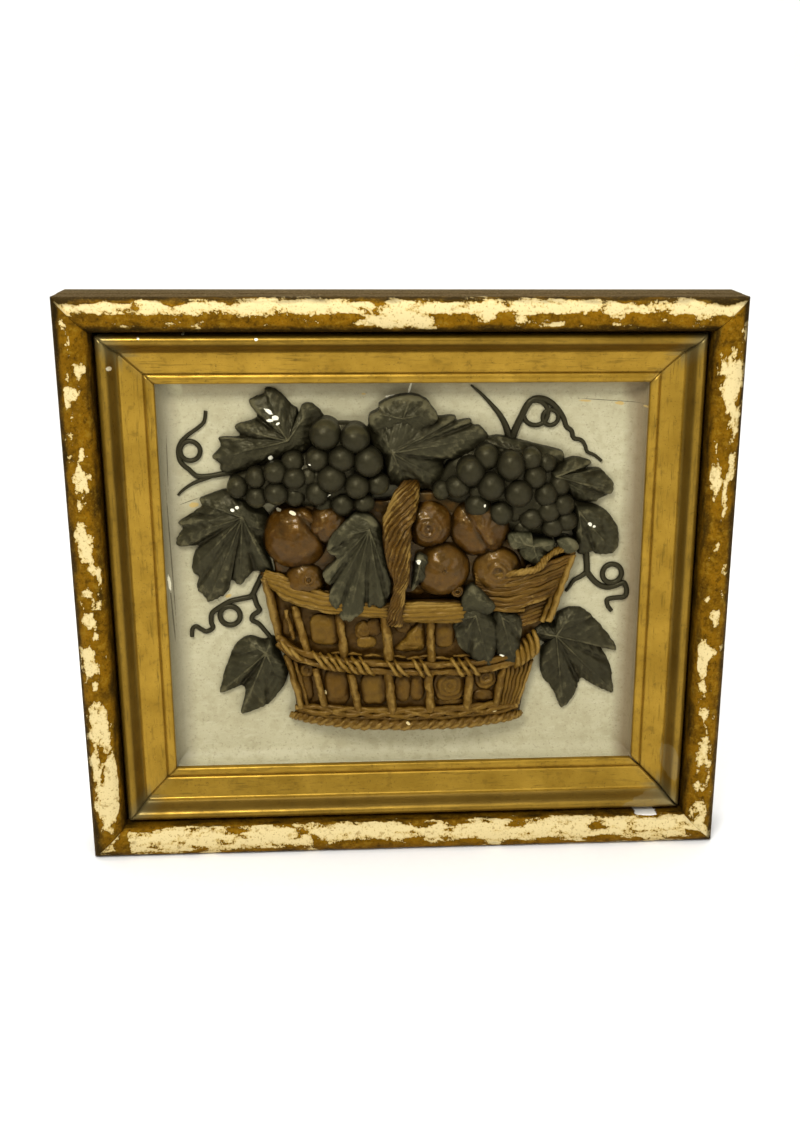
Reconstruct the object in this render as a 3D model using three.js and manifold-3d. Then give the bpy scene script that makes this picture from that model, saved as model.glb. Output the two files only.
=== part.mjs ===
// Framed wall plaque: a cast relief of a fruit basket in a gilded frame.
// Millimetres, +Z up, front towards -Y. The origin lies in the middle of the flat back.

import * as THREE from 'three';
import Module from 'manifold-3d';
import { mergeVertices } from 'three/addons/utils/BufferGeometryUtils.js';

const wasm = await Module();
wasm.setup();

// Frame, measured over the outer sides.
const frameWidth = 500;
const frameHeight = 440.5;
const mitreGap = 0.15;

// Outer moulding: a half round on an upright side, rebated behind for the slip.
const outerSide = 50;
const outerRound = 10;
const outerFace = 25;
const outerLip = 18;
const outerLipBack = 36;

// Gilt slip: rolled bead, cove, flat band and a small bead at the sight edge.
const slipOuter = 18.4;
const slipBack = 1.5;
const slipFlange = 35.6;
const sightInset = 65.5;
const slipRebate = 59;
const slipLipBack = 27.4;

// Cast panel: flat ground with a cove up to the slip.
const panelEdge = 59.4;
const groundDepth = 15;
const panelRim = 27;
const coveWidth = 11;
const sink = 2;

// Basket outline, as half widths about its own middle line.
const basketFoot = -121;
const basketLeftFoot = -88;
const basketLeftFlare = 26.6;
const basketRightFoot = 92.5;
const basketRightFlare = 42;
const basketEdge = 5;
const basketBulge = 11;

const material = (color, roughness, metalness) =>
  new THREE.MeshStandardMaterial({ color, roughness, metalness });

function signedVolume(position, index) {
  const a = new THREE.Vector3();
  const b = new THREE.Vector3();
  const c = new THREE.Vector3();
  let sum = 0;
  for (let i = 0; i < index.length; i += 3) {
    a.fromBufferAttribute(position, index[i]);
    b.fromBufferAttribute(position, index[i + 1]);
    c.fromBufferAttribute(position, index[i + 2]);
    sum += a.dot(b.cross(c));
  }
  return sum;
}

// Shares the vertices of a geometry and turns its faces outwards.
function closedBody(geometry) {
  geometry.deleteAttribute('normal');
  geometry.deleteAttribute('uv');
  const merged = mergeVertices(geometry, 1e-3);
  const index = Array.from(merged.index.array);
  const kept = [];
  for (let i = 0; i < index.length; i += 3) {
    const [p, q, r] = index.slice(i, i + 3);
    if (p !== q && q !== r && r !== p) kept.push(p, q, r);
  }
  if (signedVolume(merged.attributes.position, kept) < 0) kept.reverse();
  merged.setIndex(kept);
  return merged;
}

function toSolid(geometry) {
  const body = closedBody(geometry);
  return new wasm.Manifold(new wasm.Mesh({
    numProp: 3,
    vertProperties: Float32Array.from(body.attributes.position.array),
    triVerts: Uint32Array.from(body.index.array),
  }));
}

// The outer skin alone: a casting is solid, so pockets closed in between its forms are filled.
function outerSkin({ vertProperties, triVerts }) {
  const leader = Array.from({ length: vertProperties.length / 3 }, (unused, i) => i);
  const find = (i) => {
    let at = i;
    while (leader[at] !== at) {
      leader[at] = leader[leader[at]];
      at = leader[at];
    }
    return at;
  };
  for (let i = 0; i < triVerts.length; i += 3) {
    leader[find(triVerts[i])] = find(triVerts[i + 1]);
    leader[find(triVerts[i + 1])] = find(triVerts[i + 2]);
  }
  const skins = new Map();
  for (let i = 0; i < triVerts.length; i += 3) {
    const skin = find(triVerts[i]);
    if (!skins.has(skin)) skins.set(skin, []);
    skins.get(skin).push(triVerts[i], triVerts[i + 1], triVerts[i + 2]);
  }
  return [...skins.values()].reduce((longest, skin) => (skin.length > longest.length ? skin : longest));
}

function toGeometry(solid) {
  const mesh = solid.getMesh();
  const geometry = new THREE.BufferGeometry();
  geometry.setAttribute('position', new THREE.BufferAttribute(mesh.vertProperties, 3));
  geometry.setIndex(outerSkin(mesh));
  geometry.computeVertexNormals();
  return geometry;
}

// Moves every vertex of a geometry with a function of its own coordinates.
function reshape(geometry, move) {
  const position = geometry.attributes.position;
  const v = new THREE.Vector3();
  for (let i = 0; i < position.count; i += 1) {
    v.fromBufferAttribute(position, i);
    position.setXYZ(i, ...move(v.x, v.y, v.z));
  }
  return geometry;
}

const onPanel = (x, z, height) => [x, -groundDepth - height, z];

// ---- frame ----

function outerProfile() {
  const points = [[0, 0], [0, outerSide]];
  for (let i = 1; i < 9; i += 1) {
    const turn = Math.PI * (1 - i / 9);
    const across = outerFace / 2 * (1 + Math.cos(turn));
    points.push([across, outerSide + outerRound * Math.sin(turn)]);
  }
  points.push([outerFace, outerSide], [outerFace, outerLipBack]);
  points.push([outerLip, outerLipBack], [outerLip, 0]);
  return points;
}

function slipProfile() {
  const beadStart = 27;
  const beadEnd = 41.4;
  const points = [[slipOuter, slipBack], [slipOuter, slipFlange], [beadStart, slipFlange]];
  const bead = [[27, 42.5], [27.8, 46.2], [29.6, 48.6], [31.8, 49.4], [34.2, 48.3], [36.4, 45.6]];
  const cove = [[38.2, 42], [39.9, 39.2], [beadEnd, 38.2], [beadEnd, 36.8]];
  points.push(...bead, ...cove, [57.6, 32.2], [57.8, 30.9]);
  for (let i = 0; i < 6; i += 1) {
    const turn = Math.PI * (1 - i / 5);
    points.push([61.8 + 3.7 * Math.cos(turn), 30.6 + 2.2 * Math.sin(turn)]);
  }
  points.push([sightInset, slipLipBack], [slipRebate, slipLipBack], [slipRebate, slipBack]);
  return points;
}

// A mitred length of moulding along X, its outer side at +Z.
function rail(profile, halfAlong, halfAcross) {
  const shape = new THREE.Shape(profile.map(([inset, depth]) => new THREE.Vector2(inset, depth)));
  const bar = new THREE.ExtrudeGeometry(shape, { depth: 2, bevelEnabled: false, steps: 1 });
  return closedBody(reshape(bar, (inset, depth, t) => [
    (t - 1) * (halfAlong - inset - mitreGap), -depth, halfAcross - inset,
  ]));
}

// ---- relief ----

// A tube through [x, z, height, radius] stations, tapered by the station radii.
// lobes > 0 gives a twisted strand section, turns says how often it winds.
function sweep(stations, { sides = 5, steps = 12, lobes = 0, turns = 0, flat = 1 } = {}) {
  const centres = stations.map(([x, z, height]) => new THREE.Vector3(...onPanel(x, z, height)));
  const curve = new THREE.CatmullRomCurve3(centres, false, 'centripetal');
  const around = lobes > 0 ? lobes * 2 : sides;
  const tube = new THREE.CylinderGeometry(1, 1, 1, around, steps);
  const front = new THREE.Vector3(0, -1, 0);
  const point = new THREE.Vector3();
  const along = new THREE.Vector3();
  const side = new THREE.Vector3();
  const up = new THREE.Vector3();
  const size = new THREE.Vector3();
  const radii = new THREE.CatmullRomCurve3(stations.map(([, , , radius]) => new THREE.Vector3(radius, 0, 0)));
  return toSolid(reshape(tube, (x, y, z) => {
    const t = Math.min(1, Math.max(0, y + 0.5));
    curve.getPoint(t, point);
    curve.getTangent(t, along);
    side.crossVectors(along, front).normalize();
    up.crossVectors(side, along).normalize();
    radii.getPoint(t, size);
    const turn = Math.atan2(z, x);
    const notch = lobes > 0 && Math.round(turn / Math.PI * lobes) % 2 !== 0 ? 0.74 : 1;
    const reach = Math.hypot(x, z) * notch * size.x;
    const wound = turn + turns * 2 * Math.PI * t;
    return point.clone()
      .addScaledVector(side, reach * Math.cos(wound))
      .addScaledVector(up, reach * flat * Math.sin(wound))
      .toArray();
  }));
}

// A closed ring lying on the panel.
function ring(x, z, radius, thick, height) {
  const torus = new THREE.TorusGeometry(radius, thick, 3, 9);
  return toSolid(reshape(torus, (a, b, c) => onPanel(x + a, z + b, height + c)));
}

// A round boss standing on the ground: straight below its middle and domed above it.
function boss(x, z, radius, middle, { round = 9, rings = 2, squash = 1, eye = 0 } = {}) {
  const profile = [new THREE.Vector2(0, -sink), new THREE.Vector2(radius, -sink)];
  profile.push(new THREE.Vector2(radius, middle));
  for (let i = 1; i <= rings; i += 1) {
    const turn = Math.PI / 2 * i / (rings + 1);
    profile.push(new THREE.Vector2(radius * Math.cos(turn), middle + radius * squash * Math.sin(turn)));
  }
  const top = middle + radius * squash;
  if (eye > 0) {
    profile.push(new THREE.Vector2(eye, top - 0.2));
    profile.push(new THREE.Vector2(eye * 0.5, top - 1.4));
    profile.push(new THREE.Vector2(0, top - 0.4));
  } else {
    profile.push(new THREE.Vector2(0, top));
  }
  const body = new THREE.LatheGeometry(profile, round);
  return toSolid(reshape(body, (a, b, c) => onPanel(x + a, z + c, b)));
}

// The disc that every leaf starts from: a wall with a crowned top made of rings.
function leafDisc(around, rings) {
  const profile = [new THREE.Vector2(0, -1), new THREE.Vector2(1, -1)];
  for (let i = 0; i < rings; i += 1) profile.push(new THREE.Vector2(1 - i / rings, 1));
  profile.push(new THREE.Vector2(0, 1));
  return new THREE.LatheGeometry(profile, around);
}

// A leaf or a low mound from its outline: highest at its stem point and low at its rim.
function leaf({ at: [x, z], high, low, rim }) {
  return toSolid(reshape(leafDisc(rim.length, 2), (a, b, c) => {
    const rho = Math.min(1, Math.hypot(a, c));
    const turn = Math.atan2(a, c) / (2 * Math.PI);
    const [rimX, rimZ] = rim[Math.round((turn + 1) * rim.length) % rim.length];
    const crown = low + (high - low) * (1 - rho ** 1.6);
    return onPanel(x + (rimX - x) * rho, z + (rimZ - z) * rho, b < 0 ? -sink : crown);
  }));
}

const clamp01 = (value) => Math.min(1, Math.max(0, value));
const basketLeft = (z) => basketLeftFoot - basketLeftFlare * clamp01((z + 118.5) / 126) ** 1.5;
const basketRight = (z) => basketRightFoot + basketRightFlare * clamp01((z + 122.5) / 140) ** 1.5;

// Height of the basket's wall above the ground, a shallow half round from side to side.
function basketWall(x, z) {
  const left = basketLeft(z);
  const right = basketRight(z);
  const off = Math.min(1, Math.abs(2 * (x - left) / (right - left) - 1));
  return basketEdge + basketBulge * Math.sqrt(1 - off * off);
}

const basketTop = (x) => {
  if (x < -16) return -17 + 25 * (clamp01((-16 - x) / 98)) ** 1.2;
  if (x < 50) return -17;
  return -17 + 36 * clamp01((x - 50) / 60);
};

function basketBody() {
  const block = new THREE.BoxGeometry(2, 2, 2, 10, 1, 3);
  return toSolid(reshape(block, (a, b, c) => {
    const v = (c + 1) / 2;
    const rough = basketFoot + v * 135;
    const left = basketLeft(rough);
    const x = left + (a + 1) / 2 * (basketRight(rough) - left);
    const bottom = -129 + 8 * ((x - 10) / 100) ** 2;
    const z = bottom + v * (basketTop(x) - bottom);
    return onPanel(x, z, b > 0 ? -sink : basketWall(x, z));
  }));
}

// A stave from [x, z] to [x, z], proud of the basket's wall.
function stave(x0, z0, x1, z1, half) {
  const middle = [(x0 + x1) / 2, (z0 + z1) / 2];
  const stations = [[x0, z0], middle, [x1, z1]].map(([x, z]) => [x, z, basketWall(x, z) + 0.6, half]);
  return sweep(stations, { sides: 4, steps: 1, flat: 1.1 });
}

// A rope laid round the basket through [x, z] points.
function rope(points, radius, turns, steps) {
  const stations = points.map(([x, z]) => [x, z, basketWall(x, z) + radius * 0.45, radius]);
  return sweep(stations, { lobes: 2, turns, steps });
}

function panelSlab() {
  const halfWidth = frameWidth / 2 - panelEdge;
  const halfHeight = frameHeight / 2 - panelEdge;
  const slab = toSolid(reshape(new THREE.BoxGeometry(2, 1, 2), (a, b, c) => [
    a * halfWidth, -(b + 0.5) * panelRim, c * halfHeight,
  ]));
  // The hollow is cut with a four-sided lathe whose corners follow the sight opening.
  const steps = 5;
  const profile = [new THREE.Vector2(0, groundDepth)];
  for (let i = 0; i <= steps; i += 1) {
    const turn = Math.PI / 2 * i / steps;
    const inset = coveWidth * (1 - Math.sin(turn));
    const depth = groundDepth + (panelRim - groundDepth) * (1 - Math.cos(turn));
    profile.push(new THREE.Vector2(200 - inset, depth));
  }
  profile.push(new THREE.Vector2(200, panelRim + 5), new THREE.Vector2(0, panelRim + 5));
  const hollow = toSolid(reshape(new THREE.LatheGeometry(profile, 4), (a, b, c) => {
    const inset = 200 - Math.hypot(a, c);
    const sx = Math.sign(Math.round(a + c));
    const sz = Math.sign(Math.round(c - a));
    if (inset > 199) return [0, -b, 0];
    return [sx * (frameWidth / 2 - sightInset - inset), -b, sz * (frameHeight / 2 - sightInset - inset)];
  }));
  return slab.subtract(hollow);
}

const fruits = [
  { at: [-84, 35], radius: 24, middle: 5, squash: 0.75 },
  { at: [-60, 47], radius: 14, middle: 8, squash: 0.9 },
  { at: [-79, -1], radius: 15, middle: 8, squash: 0.8 },
  { at: [18, 44.5], radius: 17.5, middle: 9, squash: 0.85, eye: 5 },
  { at: [57, 42], radius: 22, middle: 6, squash: 0.75 },
  { at: [28, 9], radius: 20, middle: 8, squash: 0.85 },
  { at: [71, 7], radius: 18, middle: 8, squash: 0.75, eye: 6 },
  { at: [40, -8], radius: 5, middle: 16, squash: 0.9 },
];

// Fruit that shows between the staves.
const peeking = [
  [-62, -36, 12], [-33, -42, 9], [4, -44, 13], [30, -43, 9],
  [-80, -74, 8], [-55, -84, 11], [-25, -84, 11], [3, -87, 9], [35, -87, 12], [63, -84, 10], [102, -22, 9],
];

// Grapes as [x, z, radius, height of the middle], swelled until they touch.
const grapeSwell = 1.07;
const leftBunch = [
  [-60, 116.5, 10.5, 17], [-38, 113, 10.5, 18], [-48, 98.5, 9.5, 20], [-66, 97.5, 9, 17],
  [-28, 96, 10.5, 19], [-56, 83.5, 10, 20], [-37, 77, 9, 19], [-21, 78, 8, 15],
  [-48, 62, 8.5, 15], [-67, 71.5, 8.5, 17], [-32, 63, 7.5, 14], [-84, 83.5, 8.5, 17],
  [-85, 95, 8, 13], [-98, 87.5, 8.5, 16], [-98, 71.5, 8.5, 16], [-113, 83, 7.5, 13],
  [-113, 68, 8, 13], [-127, 75.5, 8, 11], [-50, 109.5, 8, 12],
];
const rightBunch = [
  [49.5, 88, 10.5, 19], [61.5, 98.5, 9, 17], [79.5, 92.5, 10.5, 20], [65, 76.5, 10, 21],
  [86, 70.5, 10.5, 20], [95, 96, 8.5, 15], [98.5, 82.5, 8.5, 17], [55, 60.5, 9, 16],
  [73, 54.5, 9.5, 16], [97, 49.5, 8.5, 15], [107.5, 68.5, 8.5, 16], [110, 55.5, 8.5, 15],
  [114, 42.5, 8.5, 13], [40, 75.5, 8.5, 16], [28, 72, 7, 13], [121, 59.5, 8.5, 13],
  [124.5, 46.5, 8, 12], [107.5, 92.5, 7.5, 12],
  [118, 75, 8, 13],
];

// The low mounds that the fruit and the two bunches stand on.
const beds = [
  { at: [0, 25], high: 11, low: 8, rim: [
    [-105, 50], [-100, 10], [-60, -8], [-20, -15], [10, -16], [60, -14], [88, -10], [95, 10],
    [80, 45], [60, 66], [5, 68], [-15, 60], [-62, 62], [-85, 64],
  ] },
  { at: [-60, 85], high: 16, low: 9, rim: [
    [-20, 72], [-45, 55], [-70, 58], [-95, 62], [-118, 62], [-134, 72], [-128, 84],
    [-105, 92], [-70, 104], [-66, 122], [-50, 124], [-38, 122], [-28, 108], [-18, 88],
  ] },
  { at: [80, 75], high: 17, low: 9, rim: [
    [24, 70], [40, 60], [60, 50], [90, 36], [122, 36], [130, 46], [128, 62],
    [120, 84], [104, 98], [80, 106], [52, 106], [38, 98], [30, 88],
  ] },
];

// Leaves, each from its stem point and its outline.
const leaves = [
  { at: [-88, 112], high: 16, low: 5, rim: [
    [-104, 150], [-96, 148], [-85, 137], [-81, 134], [-80, 130], [-77, 137], [-69, 137],
    [-61, 127], [-62, 110], [-75, 96], [-96, 90], [-116, 88], [-123, 85], [-138, 85], [-141, 92],
    [-146, 97], [-140, 105], [-140, 112], [-125, 113], [-128, 121], [-116, 125], [-111, 129],
    [-117, 140], [-106, 145],
  ] },
  { at: [-124, 53], high: 16, low: 5, rim: [
    [-135, 72], [-152, 67], [-157, 64], [-156, 59], [-162, 54], [-174, 46], [-171, 42], [-176, 33],
    [-175, 27], [-160, 27], [-163, 22], [-166, 8], [-161, 2], [-163, -7], [-157, -15], [-153, -19],
    [-139, -11], [-136, -1], [-131, -5], [-127, -4], [-117, 6], [-104, 2], [-103, 9], [-108, 28],
    [-100, 34], [-102, 44], [-106, 53], [-119, 66],
  ] },
  { at: [-28, 45], high: 26, low: 22.5, rim: [
    [-39, 56], [-44, 52], [-49, 48], [-57, 40], [-61, 29], [-59, 25], [-54, 22], [-55, 18],
    [-63, 10], [-64, 5], [-60, -1], [-56, 1], [-59, -6], [-60, -14], [-56, -20], [-50, -29],
    [-44, -31], [-37, -26], [-30, -20], [-25, -18], [-19, -20], [-15, -16], [-11, -2], [-13, 6],
    [-17, 28], [-18, 39], [-20, 47], [-29, 55],
  ] },
  { at: [-10, 104], high: 24, low: 8, rim: [
    [-27, 128], [-20, 133], [-19, 137], [-9, 142], [5, 144], [16, 140], [20, 135], [25, 128],
    [38, 128], [39, 124], [48, 125], [52, 121], [58, 119], [64, 112], [63, 103], [56, 96],
    [43, 94], [34, 95], [30, 91], [31, 84], [30, 76], [20, 70], [5, 73], [0, 70], [-8, 74],
    [-15, 77], [-16, 89], [-20, 96], [-28, 103], [-30, 111], [-28, 121],
  ] },
  { at: [-2, 129], high: 20, low: 14, rim: [
    [-27, 121], [-27, 129], [-20, 134], [-19, 138], [-9, 143], [5, 145], [16, 141], [20, 136],
    [25, 128], [21, 122], [12, 115], [8, 117], [-5, 113], [-14, 109], [-21, 113],
  ] },
  { at: [98, 29], high: 22, low: 18, rim: [
    [79, 36], [83, 38], [96, 39], [100, 33], [114, 32], [115, 26], [111, 21], [109, 17], [105, 10],
    [100, 12], [95, 15], [89, 20], [88, 26], [84, 25], [80, 29],
  ] },
  { at: [125, 27], high: 17, low: 15, rim: [
    [117, 31], [125, 33], [133, 30], [135, 24], [128, 20], [121, 23],
  ] },
  { at: [96, 99], high: 17, low: 9, rim: [
    [59, 110], [67, 112], [75, 112], [91, 108], [102, 105], [118, 101], [122, 98], [121, 92],
    [109, 87], [93, 87], [71, 93], [59, 100],
  ] },
  { at: [115, 83], high: 18, low: 6, rim: [
    [109, 88], [123, 93], [130, 95], [137, 94], [144, 91], [140, 86], [150, 86], [157, 80],
    [162, 74], [163, 69], [160, 65], [152, 62], [148, 59], [136, 60], [121, 66], [109, 72],
  ] },
  { at: [134, 54], high: 15, low: 5, rim: [
    [130, 62], [140, 59], [148, 57], [157, 52], [163, 45], [167, 38], [169, 27], [167, 19],
    [161, 16], [152, 16], [147, 18], [138, 16], [134, 22], [132, 33], [127, 46],
  ] },
  { at: [120, -49], high: 11, low: 4, rim: [
    [96, -47], [101, -43], [110, -39], [119, -39], [121, -33], [126, -30], [132, -28], [141, -29],
    [149, -35], [158, -45], [166, -55], [171, -65], [164, -64], [158, -63], [163, -71], [167, -81],
    [169, -91], [170, -102], [166, -102], [156, -97], [149, -93], [143, -89], [141, -94],
    [139, -101], [134, -110], [129, -115], [126, -113], [123, -106], [118, -96], [112, -89],
    [109, -80], [109, -63], [112, -58], [100, -53],
  ] },
  { at: [54, -26], high: 25, low: 19, rim: [
    [52, -17], [46, -19], [41, -23], [37, -35], [38, -43], [41, -53], [47, -60], [55, -67],
    [64, -71], [68, -70], [71, -58], [73, -46], [71, -36], [66, -26], [59, -20],
  ] },
  { at: [75, -29], high: 22, low: 17, rim: [
    [70, -23], [76, -23], [84, -26], [91, -32], [92, -41], [91, -55], [90, -68], [87, -71],
    [80, -69], [74, -65], [68, -49], [66, -31],
  ] },
  { at: [54, -12], high: 26, low: 22, rim: [
    [51, -4], [46, -10], [45, -17], [49, -21], [59, -21], [65, -18], [61, -12], [56, -5],
  ] },
  { at: [-110, -59], high: 12, low: 4, rim: [
    [-104, -49], [-112, -51], [-122, -48], [-129, -50], [-136, -57], [-140, -66], [-144, -76],
    [-147, -88], [-149, -96], [-139, -93], [-132, -90], [-129, -92], [-129, -98], [-131, -106],
    [-133, -114], [-128, -114], [-117, -110], [-109, -105], [-99, -93], [-94, -82], [-94, -73],
    [-98, -66],
  ] },
  { at: [10, 14], high: 25, low: 21, rim: [
    [10, 23], [16, 22], [19, 18], [18, 11], [15, 2], [10, -1], [6, -6], [4, -5], [5, 7], [7, 19],
  ] },
];

// Tendrils as [x, z] points and a start and end radius.
const tendrils = [
  [2.2, 1.5, [-118, 85], [-148, 82], [-158, 82], [-170, 93], [-171.5, 101], [-165, 112.5], [-152, 123],
  [-149.5, 132]],
  [2, 1, [-144, 83], [-152, 80], [-162, 76], [-173.5, 67]],
  [3.2, 1.2, [81, 104], [78, 117], [67, 134.5], [50, 151]],
  [3, 1.4, [81, 104], [89, 126], [94, 136], [100, 140], [108, 139], [121, 126], [124, 118.5],
    [128, 115], [130, 109.5], [136, 107.5], [139, 103.5], [141, 98.5], [152.5, 91]],
  [2.4, 1.7, [-112, 2], [-121, -15], [-137, -19], [-152, -28], [-152.5, -40], [-157, -44], [-164, -40],
    [-168, -42], [-168.5, -48]],
  [2.2, 1.8, [-119, -14], [-115, -26], [-121, -33], [-114, -40], [-106, -51]],
  [2.7, 1.8, [143, 18], [144.5, 1], [150, -6], [160, -12], [172, -9], [177, -15], [174, -20],
  [162, -22.5], [165.5, -32]],
  [2.2, 1.4, [144.5, 1], [134, -6], [128, -15]],
];

const rings = [[-162.5, 101.5, 7.5], [100, 129, 9.5], [111.5, 125.5, 6], [-138, -31, 7.8],
  [164.5, -0.5, 7.7]];

function reliefPanel() {
  const parts = [basketBody(), ...beds.map(leaf)];
  for (const { at: [x, z], radius, middle, ...rest } of fruits) {
    parts.push(boss(x, z, radius, middle, { round: 10, rings: 2, ...rest }));
  }
  for (const [x, z, radius] of peeking) {
    parts.push(boss(x, z, radius, basketWall(x, z) - 2, { round: 6, rings: 1, squash: 0.35 }));
  }
  for (const [x, z, radius, middle] of [...leftBunch, ...rightBunch]) {
    parts.push(boss(x, z, radius * grapeSwell, middle, { round: 6, rings: 2 }));
  }
  parts.push(...leaves.map(leaf));

  // Rim band on the left and in the middle, and the open weave on the right.
  parts.push(sweep(
    [[-108, 2, 9, 6], [-88, -7, 15, 9], [-60, -16, 19, 8.5], [-20, -22.5, 20, 6.5], [0, -23, 20, 7.5],
    [45, -25.5, 20, 8]],
    { sides: 5, steps: 7, flat: 0.55 },
  ));
  for (let i = 0; i < 5; i += 1) {
    const end = 17 - 6.2 * i;
    const start = 3 - 4.3 * i;
    const from = 62;
    const to = basketRight(end) - 3;
    parts.push(sweep(
      [[from, start, 17, 3.4], [(from + to) / 2, start, basketWall((from + to) / 2, start) + 2, 3.4],
      [to, end, 8, 2.6]],
      { sides: 4, steps: 2 },
    ));
  }
  const upper = [[-88, -20, -78, -58, 3], [-52, -26, -49, -62, 3.2], [-16, -28, -12, -68, 3.8],
    [19, -32, 20, -66, 3.4]];
  const lower = [
    [-94, -62, -83, -108, 3], [-72, -72, -65, -106, 3], [-44, -74, -38, -108, 3.2],
    [-14, -76, -11, -110, 3.6],
    [18, -76, 18, -110, 3.6], [51, -76, 49, -110, 3.6], [78, -74, 72, -108, 3.2], [98, -70, 88, -108, 3.4],
  ];
  const sides = [[-109, 0, -99, -50, 4], [124, 2, 105, -52, 4]];
  for (const run of [...upper, ...lower, ...sides]) parts.push(stave(...run));
  const middleLine = [[-100, -50], [-86, -60], [-60, -66.5], [0, -71.5], [55, -71.5], [88, -66], [104, -56]];
  parts.push(rope(middleLine, 6.2, 3, 13));
  const footLine = [[-85, -117], [-50, -121.5], [0, -124], [50, -123.5], [88, -119]];
  parts.push(rope(footLine, 5, 3, 11));
  parts.push(rope(footLine.map(([x, z]) => [x, z + 9]), 4.4, 1, 7));

  // Handle: a thick twisted rope that narrows to its foot on the rim.
  parts.push(sweep(
    [[-9, -33, 20, 6.5], [-8, -20, 24, 6], [-5.5, -6, 25, 4.6], [-4, 3, 25, 6.2], [-5.5, 17, 25, 9],
      [-7, 34, 25, 10.8], [-6.5, 48, 24, 11.4], [-2, 62, 21, 12], [3, 78, 12, 12]],
    { lobes: 4, turns: 0.8, steps: 10, flat: 0.6 },
  ));

  for (const [first, last, ...points] of tendrils) {
    const stations = points.map(([x, z], i) => [x, z, 1, first + (last - first) * i / (points.length - 1)]);
    parts.push(sweep(stations, { sides: 3, steps: Math.round(points.length * 1.2) }));
  }
  for (const [x, z, radius] of rings) parts.push(ring(x, z, radius, 1.8, 1));

  return toGeometry(parts.reduce((whole, part) => whole.add(part), panelSlab()));
}

const plaque = new THREE.Group();
const sides = ['top', 'right', 'bottom', 'left'];
sides.forEach((side, turn) => {
  const across = turn % 2 === 0 ? frameHeight / 2 : frameWidth / 2;
  const along = turn % 2 === 0 ? frameWidth / 2 : frameHeight / 2;
  const outer = new THREE.Mesh(rail(outerProfile(), along, across), material(0x8a6420, 0.5, 0.4));
  outer.name = `outer_rail_${side}`;
  outer.rotation.y = turn * Math.PI / 2;
  const slip = new THREE.Mesh(rail(slipProfile(), along, across), material(0xc39a3a, 0.38, 0.6));
  slip.name = `liner_${side}`;
  slip.rotation.y = turn * Math.PI / 2;
  plaque.add(outer, slip);
});

const relief = new THREE.Mesh(reliefPanel(), material(0x8f8a6c, 0.6, 0));
relief.name = 'relief_panel';
plaque.add(relief);

export default plaque;
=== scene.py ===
import math
import random

import bmesh
import bpy
import numpy as np
from mathutils import Matrix, Vector, noise


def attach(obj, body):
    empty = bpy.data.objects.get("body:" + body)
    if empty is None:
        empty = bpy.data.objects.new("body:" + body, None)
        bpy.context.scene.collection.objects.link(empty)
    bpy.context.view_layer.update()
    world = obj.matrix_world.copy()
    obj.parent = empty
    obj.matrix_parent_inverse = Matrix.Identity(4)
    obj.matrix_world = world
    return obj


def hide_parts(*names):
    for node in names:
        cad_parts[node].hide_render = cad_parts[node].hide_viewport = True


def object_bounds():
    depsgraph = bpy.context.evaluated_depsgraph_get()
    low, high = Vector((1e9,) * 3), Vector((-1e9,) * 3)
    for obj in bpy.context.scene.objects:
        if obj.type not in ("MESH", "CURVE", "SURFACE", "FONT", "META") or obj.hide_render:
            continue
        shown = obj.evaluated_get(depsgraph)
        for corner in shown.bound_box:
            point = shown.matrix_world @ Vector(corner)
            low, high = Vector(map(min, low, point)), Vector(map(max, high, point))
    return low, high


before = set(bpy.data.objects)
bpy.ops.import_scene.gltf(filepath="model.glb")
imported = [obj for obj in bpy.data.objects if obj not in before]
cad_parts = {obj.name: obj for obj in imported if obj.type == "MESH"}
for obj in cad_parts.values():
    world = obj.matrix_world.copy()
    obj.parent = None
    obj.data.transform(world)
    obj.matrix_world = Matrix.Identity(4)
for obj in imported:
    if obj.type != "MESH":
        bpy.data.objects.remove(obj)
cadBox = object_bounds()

mm = 0.001
scene = bpy.context.scene
scene.view_settings.view_transform = "Standard"


def unit(value):
    return min(1, max(0, value))


def linear(code):
    # sRGB hex to the linear colour that a shader wants
    parts = [int(code[i:i + 2], 16) / 255 for i in (1, 3, 5)]
    return [c / 12.92 if c <= 0.04045 else ((c + 0.055) / 1.055) ** 2.4 for c in parts] + [1.0]


def addNode(tree, kind, settings=None, inputs=None, output=0):
    # inputs take a plain value, a hex colour or another node's output
    node = tree.nodes.new("ShaderNode" + kind)
    for key, value in (settings or {}).items():
        setattr(node, key, value)
    for key, value in (inputs or {}).items():
        if isinstance(value, bpy.types.NodeSocket):
            tree.links.new(value, node.inputs[key])
        else:
            node.inputs[key].default_value = linear(value) if isinstance(value, str) else value
    return node.outputs[output]


def startMaterial(name, surface, grainMm):
    # one noise for each grain size in mm, on the piece's own coordinates
    material = bpy.data.materials.new(name)
    material.use_nodes = True
    tree = material.node_tree
    shader = tree.nodes["Principled BSDF"]
    for key, value in surface.items():
        shader.inputs[key].default_value = linear(value) if isinstance(value, str) else value
    place = addNode(tree, "TexCoord", output="Object")
    grains = [addNode(tree, "TexNoise", None, {
        "Vector": place, "Scale": 1 / (size * mm), "Detail": 4.0, "Roughness": 0.62}) for size in grainMm]
    return material, tree, shader, place, grains


def layOver(tree, colour, layers):
    # each layer: its mask, where that begins and is full, how much it covers, and its colour
    for mask, begin, full, cover, code in layers:
        amount = addNode(tree, "MapRange", None, {
            "Value": mask, "From Min": begin, "From Max": full, "To Max": cover})
        colour = addNode(tree, "Mix", {"data_type": "RGBA"}, {0: amount, 6: colour, 7: code}, 2)
    return colour


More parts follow.
